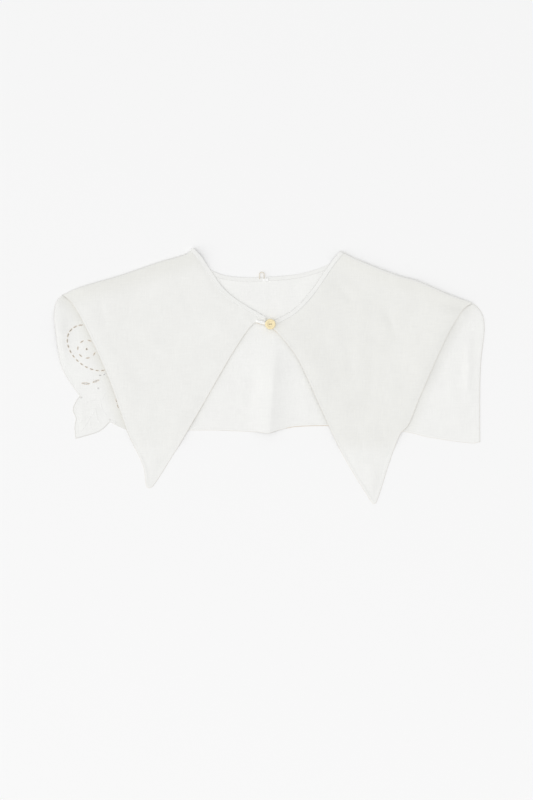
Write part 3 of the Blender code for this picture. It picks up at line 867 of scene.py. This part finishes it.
def back_edges():
    """Plan lines round the back panel, anticlockwise, by name."""
    left = shoulder_seam(LEFT)
    right = shoulder_seam(RIGHT)[::-1]
    return {
        "left shoulder": left,
        "left fold end": meeting(LEFT_FOLD_END, start=left[-1]),
        "left end": smooth_line(LEFT_END),
        "leaf side": smooth_line(LEAF_SIDE),
        "leaf foot": smooth_line(LEAF_FOOT),
        "scallop": smooth_line(SCALLOP),
        "lower edge": np.vstack([smooth_line(run) for run in LOWER_EDGES]),
        "right end": smooth_line(RIGHT_END),
        "right fold end": meeting(RIGHT_FOLD_END, end=right[0]),
        "right shoulder": right,
        "neck": meeting(NECK_EDGE, start=right[-1], end=left[0]),
    }


def opening_line(opening, spread=0.0):
    """Closed outline of a cutwork opening, made larger all round by a spread."""
    half_length = opening.length / 2 + spread
    half_width = opening.width / 2 + spread
    steps = round(math.pi * (half_length + half_width) / OPENING_SPACING)
    angle = full_turn(max(FEWEST_OPENING_STEPS, steps))
    pointed = np.sin(angle) * np.abs(np.sin(angle)) ** opening.point
    lens = np.column_stack([half_length * np.cos(angle), half_width * pointed])
    return (opening.x, opening.y) + rotated(lens, math.radians(opening.turn))


def ring_openings():
    """Slots evenly spaced along an ellipse, each one lying along it, and slimmer towards the points."""
    angle = np.linspace(0, 2 * math.pi, RING_STEPS)
    ellipse = np.column_stack([RING_LONG * np.cos(angle), RING_SHORT * np.sin(angle)])
    line = RING + rotated(ellipse, math.radians(RING_TURN))
    lengths = np.arange(RING_SLOTS) * line_lengths(line)[-1] / RING_SLOTS
    places = at_lengths(line, lengths)
    ways = at_lengths(line, lengths + SLOT_LENGTH / 20) - places
    slims = smooth_step((places[:, 1].max() - places[:, 1]) / SLOT_SLIM_DROP)
    slots = []
    for number, (place, way, slim) in enumerate(zip(places, ways, slims)):
        uneven = 1 + SLOT_UNEVEN * noise.noise((number * 1.7, 3.1, 0.2))
        slots.append(Opening(*place, math.degrees(math.atan2(way[1], way[0])),
                             SLOT_LENGTH * uneven * (1 - SLOT_SHORTER * slim),
                             SLOT_WIDTH * uneven * (1 - SLOT_SLIMMER * slim), SLOT_POINT))
    return slots


def flower_openings():
    """Petal-shaped openings round a centre eyelet."""
    petals = [Opening(*FLOWER, 0, FLOWER_EYE, FLOWER_EYE, 0)]
    for petal in range(FLOWER_PETALS):
        angle = 2 * math.pi * petal / FLOWER_PETALS + FLOWER_TURN
        place = FLOWER + rotated((FLOWER_REACH, 0.0), angle)
        petals.append(Opening(*place, math.degrees(angle) + 90, PETAL_LENGTH, PETAL_WIDTH, PETAL_POINT))
    return petals


def back_lattice(outline):
    """Rows of points over the back panel, closer together in the cutwork."""
    low = outline.min(axis=0)
    high = outline.max(axis=0)
    rows = []
    for spacing in (BACK_SPACING, CUTWORK_SPACING):
        for number, y in enumerate(np.arange(low[1], high[1], spacing * math.sqrt(0.75))):
            x = np.arange(low[0], high[0], spacing) + spacing / 2 * (number % 2)
            x = x[(x < CUTWORK_RIGHT_X) == (spacing == CUTWORK_SPACING)]
            rows.append(np.column_stack([x, np.full(len(x), y)]))
    points = np.vstack(rows)
    return points[inside(points, outline)]


def inner_points(outline, holes):
    """The lattice where it is clear of all edges, and a row of points just inside the outline."""
    lattice = back_lattice(outline)
    clearance = np.where(lattice[:, 0] < CUTWORK_RIGHT_X, CUTWORK_SPACING, BACK_SPACING) * LATTICE_CLEAR
    keep = edge_distance(lattice, looped(outline)) > clearance
    for hole in holes:
        keep &= (edge_distance(lattice, looped(hole)) > clearance) & ~inside(lattice, hole)
    ring = inset_line(np.vstack([outline[-1:], outline, outline[:1]]), BACK_EDGE_RING)[1:-1]
    keep &= edge_distance(lattice, looped(ring)) > OUTLINE_SPACING / 2
    away = edge_distance(ring, looped(outline)) > BACK_EDGE_RING * RING_AWAY
    return np.vstack([lattice[keep], ring[away]])


def triangulated(outline, holes):
    """Plan points and triangles of a panel with real openings."""
    loops = [outline] + holes
    edges = []
    start = 0
    for loop in loops:
        edges += [(start + step, start + (step + 1) % len(loop)) for step in range(len(loop))]
        start += len(loop)
    points = np.vstack(loops + [inner_points(outline, holes)])
    found = geometry.delaunay_2d_cdt([Vector(point) for point in points], edges, [], 1, MERGE_DISTANCE)
    points = np.array([tuple(point) for point in found[0]])
    faces = np.array(found[2])
    for hole in holes:
        faces = faces[~inside(points[faces].mean(axis=1), hole)]
    first, second = (points[faces[:, corner]] - points[faces[:, 0]] for corner in (1, 2))
    turned = first[:, 0] * second[:, 1] < first[:, 1] * second[:, 0]
    faces[turned] = faces[turned][:, ::-1]
    return points, faces


def back_painted_shade(plan):
    """Painted shade: the back is duller beside the fronts' edges, where the fronts shade it."""
    tone = np.ones(len(plan))
    for front in (LEFT, RIGHT):
        for edge, duller, reach in ((front.outer_edge, front.beside_duller, OUTER_EDGE_SHADE_REACH),
                                    (front.front_edge, FRONT_EDGE_PAINTED_SHADE, FRONT_EDGE_SHADE_REACH)):
            tone -= duller * np.exp(-(edge_distance(plan, smooth_line(edge)) / reach) ** 2)
    return tone


def make_back(edges, openings, material):
    """The back panel: it lies on the table, raised at its middle crease, and its cutwork is cut through."""
    outline = np.vstack([paced(line, OUTLINE_SPACING)[:-1] for line in edges.values()])
    rims = [opening_line(opening) for opening in openings]
    plan, faces = triangulated(outline, rims)
    hemmed = np.vstack([edges[name] for name in HEMMED_EDGES])
    distance = edge_distance(plan, hemmed)
    seams = np.minimum(*(edge_distance(plan, edges[name]) for name in ("left shoulder", "right shoulder")))
    neck = edge_distance(plan, edges["neck"])
    relief = crease_relief(plan, BACK_CREASES)
    relief += unevenness(plan, BACK_UNEVEN, BACK_UNEVEN_SIZES, BACK_LAYER)
    relief = np.maximum(BACK_REST * smooth_step(distance / BACK_REST_REACH) + relief, OFF_TABLE)
    relief *= smooth_step(seams / NECK_REACH) * smooth_step(neck / NECK_REACH)
    lift = NECK_LIFT * (1 - smooth_step(neck / NECK_LIFT_REACH))
    walls = hem_walls(distance)
    height = walls + np.maximum(relief, OFF_TABLE) + lift + swell(plan)
    points = np.column_stack([plan, height])
    cloth = new_object("linen_back", points, faces, material)
    rim = np.min([edge_distance(plan, looped(rim)) for rim in rims], axis=0)
    set_grain(cloth, plan, distance, np.minimum(distance, rim), back_painted_shade(plan))
    thicken(cloth, walls)
    return cloth, Surface(points, faces)


# ---- neck binding

def binding_profile():
    """Distances in from the neck edge and off the cloth's middle, from the top leg round to the other."""
    half = LINEN / 2 + BINDING_CLEAR + BINDING_WALL
    top = [(inward, half) for inward in np.linspace(BINDING_TOP, 0, BINDING_LEG_STEPS, endpoint=False)]
    bend = [(-half * math.sin(angle), half * math.cos(angle))
            for angle in np.linspace(0, math.pi, BINDING_ROUND_STEPS + 1)]
    under = [(inward, -half) for inward in np.linspace(0, BINDING_UNDER, BINDING_LEG_STEPS)[1:]]
    return top + bend + under


def make_binding(name, base, inward, normal, surface, on_top, widths, flip, material):
    """Binding folded round an edge: from points on it and their directions in and off the cloth."""
    profile = binding_profile()
    points = []
    for place, into, off, level, width in zip(base, inward, normal, on_top, widths):
        for distance, rise in profile:
            distance = distance * width if distance > 0 else distance
            point = place + into * distance + off * (rise - LINEN / 2)
            if level:
                reach = place + into * max(distance, 0)
                point[2] = surface.height(reach[0], reach[1]) + rise - LINEN / 2
            points.append(point)
    points = np.array(points)
    points[:, 2] = np.maximum(points[:, 2], OFF_TABLE / 2)
    cloth = new_object(name, points, grid_faces(len(base), len(profile), flip), material)
    across = np.tile(line_lengths(np.array(profile)), len(base))
    along = np.repeat(line_lengths(base), len(profile))
    far = np.full(len(points), FAR)
    set_grain(cloth, np.column_stack([along, across]), far, far, np.ones(len(points)))
    thicken(cloth, np.full(len(points), BINDING_WALL))
    return cloth, line_lengths(base)[-1]


def front_binding(front, grid, surface, rows, material):
    """Binding from the shoulder seam, over the fold and down the neckline of a front."""
    base = grid[0, :rows]
    chord = np.linalg.norm(grid[:, :rows] - base, axis=2)
    column = np.argmin(np.abs(chord - BINDING_TOP), axis=0)
    along = unit(np.gradient(base, axis=0))
    inward = grid[column, np.arange(rows)] - base
    inward = unit(inward - along * np.sum(inward * along, axis=1)[:, None])
    normal = np.cross(inward, along) if front is LEFT else np.cross(along, inward)
    on_top = np.arange(rows) > TURNING_STEPS + FOLD_STEPS
    inward[on_top, 2] = 0
    inward = unit(inward)
    normal[on_top] = (0, 0, 1)
    from_end = line_lengths(base)[-1] - line_lengths(base)
    widths = np.clip(from_end / BINDING_MITRE, MITRE_TIP, 1.0) if front is LEFT else np.ones(rows)
    return make_binding(f"binding_neck_{front.name}", base, inward, normal, surface, on_top, widths,
                        front is LEFT, material)


def back_binding(edges, surface, material):
    line = paced(edges["neck"], OUTLINE_SPACING)[BACK_BINDING_SHORT:-BACK_BINDING_SHORT]
    inward = leftward(unit(np.gradient(line, axis=0)))
    base = surface.on(line + inward * ONTO_CLOTH)
    base[:, :2] = line
    inward = np.column_stack([inward, np.zeros(len(line))])
    normal = np.tile((0.0, 0.0, 1.0), (len(line), 1))
    return make_binding("binding_neck_back", base, inward, normal, surface, np.ones(len(line), bool),
                        np.ones(len(line)), False, material)


# ---- thread

def inset_line(line, inset):
    """A plan line moved to its left by an inset."""
    return line + inset * leftward(unit(np.gradient(line, axis=0)))


def stitches(line, surface, layer, pitch=STITCH_PITCH, length=STITCH_LENGTH, turn=0.0, rise=0.0):
    """Small hand stitches in a row, each a short bulge of thread that dips into the cloth at its ends."""
    line = paced(line, pitch)[1:-1]
    around = full_turn(STITCH_SIDES)[:, None]
    faces = ring_faces(len(STITCH_RINGS), STITCH_SIDES, "open", flip=True)
    parts = []
    for number, (place, way) in enumerate(zip(line, unit(np.gradient(line, axis=0)))):
        sway = noise.noise((number * 0.73, layer, 0.5))
        way = rotated(way, turn + STITCH_TURN * sway)
        side = np.array([*leftward(way), 0.0]) * STITCH_FLATTER
        points = []
        for share, size, height in STITCH_RINGS:
            middle = place + way * share * length / 2 * (1 + STITCH_UNEVEN * sway)
            level = surface.height(*middle) + rise + height * STITCH_RADIUS
            ring = side * np.cos(around) + np.array([0.0, 0.0, 1.0]) * np.sin(around)
            points.append(np.array([*middle, level]) + STITCH_RADIUS * size * ring)
        parts.append((np.vstack(points), faces))
    return parts


def front_stitches(front, surface, grid, rows):
    """Hem stitches down both edges of a front and the row that holds its neck binding."""
    side = -1 if front is LEFT else 1
    hemmed = hemmed_line(front)
    parts = []
    outer_edge = smooth_line(front.outer_edge)[::-1][:-OUTER_ROW_STOP]
    for layer, edge in enumerate((smooth_line(front.front_edge), outer_edge)):
        row = inset_line(edge, side * STITCH_INSET)
        row = row[edge_distance(row, hemmed) > STITCHES_WITHIN * STITCH_INSET]
        parts += stitches(row, surface, 1.0 + layer)
    neck = grid[0, TURNING_STEPS + FOLD_STEPS + 2:rows, :2]
    neck = neck[np.linalg.norm(neck - neck[-1], axis=1) > BINDING_MITRE]
    return parts + stitches(inset_line(neck, side * NECK_STITCH_INSET), surface, 3.0, rise=BINDING_RISE)


def back_stitches(edges, surface):
    lower_edge = inset_line(edges["lower edge"], STITCH_INSET)[LOWER_ROW_START:]
    neck = inset_line(edges["neck"], NECK_STITCH_INSET)[NECK_ROW_ENDS:-NECK_ROW_ENDS]
    overcast = inset_line(edges["right end"], OVERCAST_INSET)
    return (stitches(lower_edge, surface, 4.0)
            + stitches(inset_line(edges["right end"], STITCH_INSET), surface, 5.0)
            + stitches(overcast, surface, 6.0, OVERCAST_PITCH, OVERCAST_LENGTH, math.pi / 2)
            + stitches(neck, surface, 7.0, rise=BINDING_RISE))


def cutwork_threads(edges, openings, surface):
    """Cords of the cutwork, by colour.

    White: eyelets, bars, veins, the left end, the scallop, and the lines inside the edges. Greyed: the
    leaf's edges, whose grey is painted shade. Browned: the rims of all other openings, and the lower edge
    right of the middle crease.
    """
    rims = [laid(surface, opening_line(opening, RIM_OUT), RIM_CORD, closed=True) for opening in openings]
    white = rims[-len(EYELETS):]
    for opening in LEAF_OPENINGS:
        for share in BAR_SHARES:
            bar = [(share * opening.length, side * BAR_REACH * opening.width) for side in (-1, 1)]
            bar = (opening.x, opening.y) + rotated(bar, math.radians(opening.turn))
            white.append(laid(surface, bar, BAR_CORD))
    for vein in LEAF_VEINS:
        white.append(laid(surface, paced(smooth_line(vein), CORD_SPACING), VEIN_CORD))
    greyed = []
    for name in CUTWORK_EDGES:
        satin = surface.on(paced(inset_line(edges[name], SATIN_INSET), CORD_SPACING), -SATIN_SINK)
        satin[:, 2] = np.maximum(satin[:, 2], SATIN_RADIUS)
        (greyed if name.startswith("leaf") else white).append(tube(satin, SATIN_RADIUS))
        if name != "scallop":
            inner = inset_line(edges[name], INNER_LINE_INSET)[INNER_LINE_ENDS:-INNER_LINE_ENDS]
            white.append(laid(surface, paced(inner, CORD_SPACING), INNER_CORD))
    # A darker cord along the lower edge right of the middle crease
    darkened_edge = paced(inset_line(smooth_line(LOWER_EDGES[2]), RIM_OUT), CORD_SPACING)
    browned = rims[:-len(EYELETS)] + [laid(surface, darkened_edge, LOWER_EDGE_CORD, taper=DARK_CORD_TAPER)]
    return white, greyed, browned


def corner_shade_cord(front, surface):
    """Browned thread over the edge of a front, from under the button to where its front edge turns down:
    painted shade, standing for the shade line under the loop and the button.
    """
    edge = np.vstack([smooth_line(front.corner_end), smooth_line(front.front_edge)])
    return laid(surface, at_lengths(edge, CORNER_SHADE_LENGTHS), CORNER_SHADE_CORD, taper=DARK_CORD_TAPER)


def loop_route(surface):
    """From inside the edge of the left front's corner, round the button's shank and back."""
    start = np.array(LOOP_START)
    low = surface.height(*start) - HEM / 2
    towards = unit(BUTTON - start)
    across = leftward(towards)
    share = np.linspace(0, 1, LOOP_STRAND_STEPS + 1)
    middle = mix(start, BUTTON, share[:, None])
    half_width = mix(LOOP_RADIUS * LOOP_CLOSENESS, LOOP_TURN_RADIUS, smooth_step(2 * share - 1))[:, None]
    rise = mix(low, LOOP_HIGH, smooth_step(share / LOOP_RISE_SHARE))
    there, back = (np.column_stack([middle + side * across * half_width, rise]) for side in (1, -1))
    angle = np.linspace(math.pi / 2, -math.pi / 2, LOOP_TURN_STEPS + 1)[1:-1, None]
    bend = BUTTON + LOOP_TURN_RADIUS * (towards * np.cos(angle) + across * np.sin(angle))
    return np.vstack([there, np.column_stack([bend, np.full(len(bend), LOOP_HIGH)]), back[::-1]])


def hanging_parts(surface):
    """The small loop at the back neck, and the tack that holds its folded end on the binding."""
    neck_y = NECK_EDGE[NECK_MIDDLE][1]
    level = surface.height(HANGING_X, neck_y - HANGING_SEAT) + BINDING_RISE + HANGING_RADIUS
    angle = np.linspace(math.pi, 0, HANGING_STEPS)
    bend = HANGING_HALF_WIDTH * np.column_stack([np.cos(angle), np.sin(angle)])
    bend += (HANGING_X, neck_y + HANGING_REACH - HANGING_HALF_WIDTH)
    feet = bend[[0, -1]]
    feet[:, 1] = neck_y - HANGING_FOOT
    plan = np.vstack([feet[:1], bend, feet[1:]])
    tack = []
    for x in np.linspace(-TACK_LENGTH / 2, TACK_LENGTH / 2, TACK_ROWS) + TACK[0]:
        ends = [(x, neck_y + TACK[1] + half, level) for half in (-TACK_HALF, TACK_HALF)]
        tack.append(tube(ends, TACK_RADIUS, wrapped=False))
    return [tube(np.column_stack([plan, np.full(len(plan), level)]), HANGING_RADIUS)], tack


# ---- button

def turned(profile, steps):
    """Points and faces of a profile of (radius, height), turned about the vertical, with closed ends."""
    points = [(radius * math.cos(angle), radius * math.sin(angle), height)
              for radius, height in profile for angle in full_turn(steps)]
    return np.array(points), ring_faces(len(profile), steps, "capped", flip=True)


def make_button(material):
    """A turned casein button with a rounded rim, a shallow well and two thread holes."""
    button = new_object("button_disc", *turned(BUTTON_PROFILE, BUTTON_STEPS), material)
    button.location = (*BUTTON, BUTTON_BASE)
    cutters = []
    for side in (-1, 1):
        drill = [(HOLE_RADIUS, height) for height in HOLE_HEIGHTS]
        cutter = new_object("button_hole", *turned(drill, HOLE_STEPS), material)
        cutter.location = (BUTTON[0] + side * HOLE_SPACING / 2, BUTTON[1], BUTTON_BASE)
        hole = button.modifiers.new("Hole", "BOOLEAN")
        hole.object = cutter
        hole.solver = "EXACT"
        cutters.append(cutter)
    graph = bpy.context.evaluated_depsgraph_get()
    cut = bpy.data.meshes.new_from_object(button.evaluated_get(graph))
    button.modifiers.clear()
    button.data = cut
    for face in cut.polygons:
        face.use_smooth = abs(face.normal.z) < FLAT_FACE
    for cutter in cutters:
        bpy.data.objects.remove(cutter)
    return button


def shank_parts(surface):
    """Thread wound round itself under the button, and the two strands across its holes."""
    foot = surface.height(*SHANK_FOOT) - SHANK_SINK
    winding = np.linspace(0, 2 * math.pi * SHANK_TURNS, SHANK_STEPS)
    coil = BUTTON + SHANK_COIL_RADIUS * np.column_stack([np.cos(winding), np.sin(winding)])
    height = np.linspace(foot, BUTTON_BASE + SHANK_SINK / 2, len(winding))
    parts = [tube(np.column_stack([coil, height]), SHANK_THREAD_RADIUS, wrapped=False)]
    well = BUTTON_BASE + BUTTON_PROFILE[-1][1]
    for y in (BUTTON[1] - STRAND_APART, BUTTON[1] + STRAND_APART):
        route = [(BUTTON[0] + share * HOLE_SPACING / 2, y, well + rise) for share, rise in STRAND]
        parts.append(tube(route, STRAND_RADIUS, up=(0.0, 1.0, 0.0), wrapped=False))
    return parts


# ---- materials

def principled(name, colour, roughness, settings):
    material = bpy.data.materials.new(name)
    material.use_nodes = True
    shader = material.node_tree.nodes["Principled BSDF"]
    shader.inputs["Base Color"].default_value = (*colour, 1.0)
    shader.inputs["Roughness"].default_value = roughness
    for socket, value in settings.items():
        shader.inputs[socket].default_value = value
    return material, shader


class Nodes:
    """Adds shader nodes to a material, wired by socket name, and gives back one output of each."""

    def __init__(self, material):
        self.tree = material.node_tree

    def add(self, kind, inputs=(), output=0, **settings):
        node = self.tree.nodes.new("ShaderNode" + kind)
        for name, value in settings.items():
            setattr(node, name, value)
        for socket, value in dict(inputs).items():
            if isinstance(value, bpy.types.NodeSocket):
                self.tree.links.new(value, node.inputs[socket])
            else:
                node.inputs[socket].default_value = value
        return node.outputs[output]

    def math(self, operation, first, second):
        return self.add("Math", {0: first, 1: second}, operation=operation)

    def ranged(self, value, low, high, at_low, at_high, **settings):
        """The value, mapped from between low and high."""
        return self.add("MapRange", {"Value": value, "From Min": low, "From Max": high,
                                     "To Min": at_low, "To Max": at_high}, **settings)

    def scaled(self, colour, share):
        return self.add("VectorMath", {0: colour, 3: share}, operation="SCALE")


def weave_and_slubs(nodes, grain, thread_pitch):
    """Height of thread ridges both ways, and of the slubs along them."""
    threads = []
    slubs = []
    for direction, stretch in (("X", (1.4, 0.06, 1.0)), ("Y", (0.06, 1.4, 1.0))):
        wave = {"Vector": grain, "Scale": WAVES / thread_pitch, "Distortion": 1.1, "Detail": 1.0,
                "Detail Scale": 0.35}
        threads.append(nodes.add("TexWave", wave, 1, bands_direction=direction))
        spread = nodes.add("Mapping", {"Vector": grain, "Scale": stretch})
        slubs.append(nodes.add("TexNoise", {"Vector": spread, "Scale": 1.0, "Detail": 2.0}))
    return nodes.math("MAXIMUM", *threads), nodes.math("ADD", *slubs)


def linen_material(name, colour, thread_pitch):
    """Plain-weave linen: thread ridges both ways, slubs, a faint mottle and the step of the hem.

    Its surface is duller where the tone of the points is below 1, which is painted shade on the fronts'
    folds and on the back beside the fronts' edges, and the fronts' dulling where they lie over the back.
    Along its edges and the rims of its openings it has a warm painted shade.
    """
    material, shader = principled(name, colour, 0.92, {"Specular IOR Level": 0.12, "Sheen Weight": 0.06,
                                                       "Sheen Roughness": 0.5})
    nodes = Nodes(material)
    grain = nodes.add("UVMap", uv_map="grain")
    weave, slub = weave_and_slubs(nodes, grain, thread_pitch)
    distances = nodes.add("SeparateXYZ", {0: nodes.add("UVMap", uv_map="edges")}).node.outputs
    hem = HEM_WIDTH * 1000
    blend = HEM_STEP * 500
    step = nodes.ranged(distances[0], hem - blend, hem + blend, 1.0, 0.0, interpolation_type="SMOOTHSTEP")
    bump = nodes.add("Bump", {"Height": weave, "Distance": WEAVE_DEPTH, "Strength": 0.8})
    bump = nodes.add("Bump", {"Height": slub, "Distance": SLUB_DEPTH, "Strength": 0.8, "Normal": bump})
    bump = nodes.add("Bump", {"Height": step, "Distance": HEM_DEPTH, "Strength": 1.0, "Normal": bump})
    nodes.tree.links.new(bump, shader.inputs["Normal"])

    mottle = nodes.add("TexNoise", {"Vector": grain, "Scale": 0.035, "Detail": 3.0})
    shade = nodes.math("MULTIPLY", nodes.ranged(slub, 0.7, 1.3, 0.975, 1.02),
                       nodes.ranged(mottle, 0.3, 0.7, 0.985, 1.01))
    # Tone below 1: painted shade, and the fronts' dulling over the back, tinted warm
    duller = nodes.math("SUBTRACT", 1.0, nodes.add("Attribute", output="Fac", attribute_name="tone"))
    lessened = nodes.add("VectorMath", {0: (1.0, 1.0, 1.0), 1: nodes.scaled(DULLER_TINT, duller)},
                         operation="SUBTRACT")
    tinted = nodes.add("VectorMath", {0: nodes.scaled(colour, shade), 1: lessened}, operation="MULTIPLY")
    # Warm painted shade along the edges and the rims of the openings
    aged = nodes.ranged(distances[1], 0.0, EDGE_SHADE_WIDTH * 1000, 1.0, 0.0, interpolation_type="SMOOTHSTEP")
    darkened_edge = nodes.add("Mix", {0: aged, 6: tinted, 7: (*EDGE_SHADE_COLOUR, 1.0)}, 2, data_type="RGBA")
    nodes.tree.links.new(darkened_edge, shader.inputs["Base Color"])
    return material


def thread_material(name, colour):
    return principled(f"thread_{name}", colour, 0.55, {"Specular IOR Level": 0.3, "Sheen Weight": 0.1})[0]


def casein_material():
    """Honey-yellow casein, faintly mottled, softly polished."""
    material, shader = principled("button_casein", BUTTON_COLOUR, 0.35, {"Coat Weight": 0.4,
                                                                         "Coat Roughness": 0.15})
    nodes = Nodes(material)
    place = nodes.add("TexCoord", output="Object")
    spread = nodes.add("Mapping", {"Vector": place, "Scale": (500, 160, 300)})
    cloud = nodes.add("TexNoise", {"Vector": spread, "Scale": 1.0, "Detail": 2.0})
    tinted = nodes.scaled(BUTTON_COLOUR, nodes.ranged(cloud, 0.3, 0.7, 0.9, 1.0))
    nodes.tree.links.new(tinted, shader.inputs["Base Color"])
    return material


# ---- stage

def make_floor():
    """White paper, with a painted falloff of the light: a little duller towards the back and the right."""
    material, shader = principled("paper_floor", FLOOR_COLOUR, 1.0, {"Specular IOR Level": 0.0})
    nodes = Nodes(material)
    place = nodes.add("TexCoord", output="Object")
    duller = nodes.add("VectorMath", {0: place, 1: FLOOR_FALLOFF}, "Value", operation="DOT_PRODUCT")
    tinted = nodes.scaled(FLOOR_COLOUR, nodes.ranged(duller, -1.0, 1.0, 2.0, 0.0))
    nodes.tree.links.new(tinted, shader.inputs["Base Color"])
    corners = ((-1, -1), (1, -1), (1, 1), (-1, 1))
    points = [(x * FLOOR_HALF, y * FLOOR_HALF, FLOOR_LEVEL) for x, y in corners]
    floor = new_object("floor", points, [(0, 1, 2, 3)], material)


def sun(name, energy, angle, towards):
    lamp = bpy.data.lights.new(name, "SUN")
    lamp.angle = math.radians(angle)
    lamp.energy = energy
    placed = bpy.data.objects.new(name, lamp)
    placed.rotation_euler = Vector(towards).to_track_quat("-Z", "Y").to_euler()
    bpy.context.scene.collection.objects.link(placed)


def make_light():
    """A bright room: a wide light overhead, and a low window light from the left of the picture."""
    world = bpy.data.worlds.new("studio")
    world.use_nodes = True
    background = world.node_tree.nodes["Background"]
    background.inputs["Color"].default_value = (1.0, 1.0, 1.0, 1.0)
    background.inputs["Strength"].default_value = ROOM_STRENGTH
    bpy.context.scene.world = world
    sun("overhead", 0.98, 60, (0.1, 0.12, -1.0))
    sun("window", 0.55, 40, (1.0, 0.3, -0.42))


def make_camera():
    lens = bpy.data.cameras.new("camera")
    lens.lens = 100
    lens.sensor_width = 36
    camera = bpy.data.objects.new("camera", lens)
    camera.location = CAMERA_PLACE
    bpy.context.scene.collection.objects.link(camera)
    bpy.context.scene.camera = camera
    bpy.context.scene.view_settings.view_transform = "Standard"


# ---- the collar

def stand_for(piece, slot, *nodes):
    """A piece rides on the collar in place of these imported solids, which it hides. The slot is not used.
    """
    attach(piece, "root")
    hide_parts(*nodes)


def make_collar():
    linen = linen_material("linen", LINEN_COLOUR, THREAD_PITCH)
    lining = linen_material("linen_back", LINING_COLOUR, THREAD_PITCH)
    tape = linen_material("linen_binding", LINEN_COLOUR, TAPE_THREAD_PITCH)
    threads = {name: thread_material(name, colour) for name, colour in THREAD_COLOURS.items()}

    edges = back_edges()
    openings = ring_openings() + flower_openings() + LEAF_OPENINGS + EDGE_SLOTS + EYELETS
    back, back_surface = make_back(edges, openings, lining)
    stand_for(back, "linen", "back_panel")

    sewn = back_stitches(edges, back_surface)
    surfaces = {}
    for front, flat, area in ((LEFT, (0.202, 0.244), 0.0290), (RIGHT, (0.204, 0.258), 0.0308)):
        cloth, surface, grid = make_front(front, linen)
        surfaces[front.name] = surface
        stand_for(cloth, "linen", f"front_{front.name}")
        rows = grid.shape[1] if front is LEFT else round(BINDING_STOP * grid.shape[1])
        binding, length = front_binding(front, grid, surface, rows, tape)
        stand_for(binding, "binding", f"binding_{front.name}")
        sewn += front_stitches(front, surface, grid, rows)

    binding, length = back_binding(edges, back_surface, tape)
    stand_for(binding, "binding", "binding_back")

    white, greyed, browned = cutwork_threads(edges, openings, back_surface)
    # Browned cords at the fronts' corners: painted shade under the loop and the button
    browned += [corner_shade_cord(front, surfaces[front.name]) for front in (LEFT, RIGHT)]
    loop = [tube(loop_route(surfaces["left"]), LOOP_RADIUS, taper=LOOP_TAPER)]
    arch, tack = hanging_parts(back_surface)
    for name, parts, colour, *node in (
            ("stitches", sewn, "white"),
            ("cutwork_threads", white, "white"),
            ("leaf_edges", greyed, "greyed"),
            ("browned_threads", browned, "browned"),
            ("loop_for_button", loop, "cord", "button_loop"),
            # The hanging loop's tan is painted shade
            ("loop_for_hanging", arch, "aged", "hanging_loop"),
            ("loop_tack", tack, "cord"),
            ("shank_thread", shank_parts(surfaces["right"]), "tan", "button_shank")):
        stand_for(joined(name, parts, threads[colour]), "thread", *node)
    stand_for(make_button(casein_material()), "button", "button")


make_camera()
make_light()
make_floor()
make_collar()
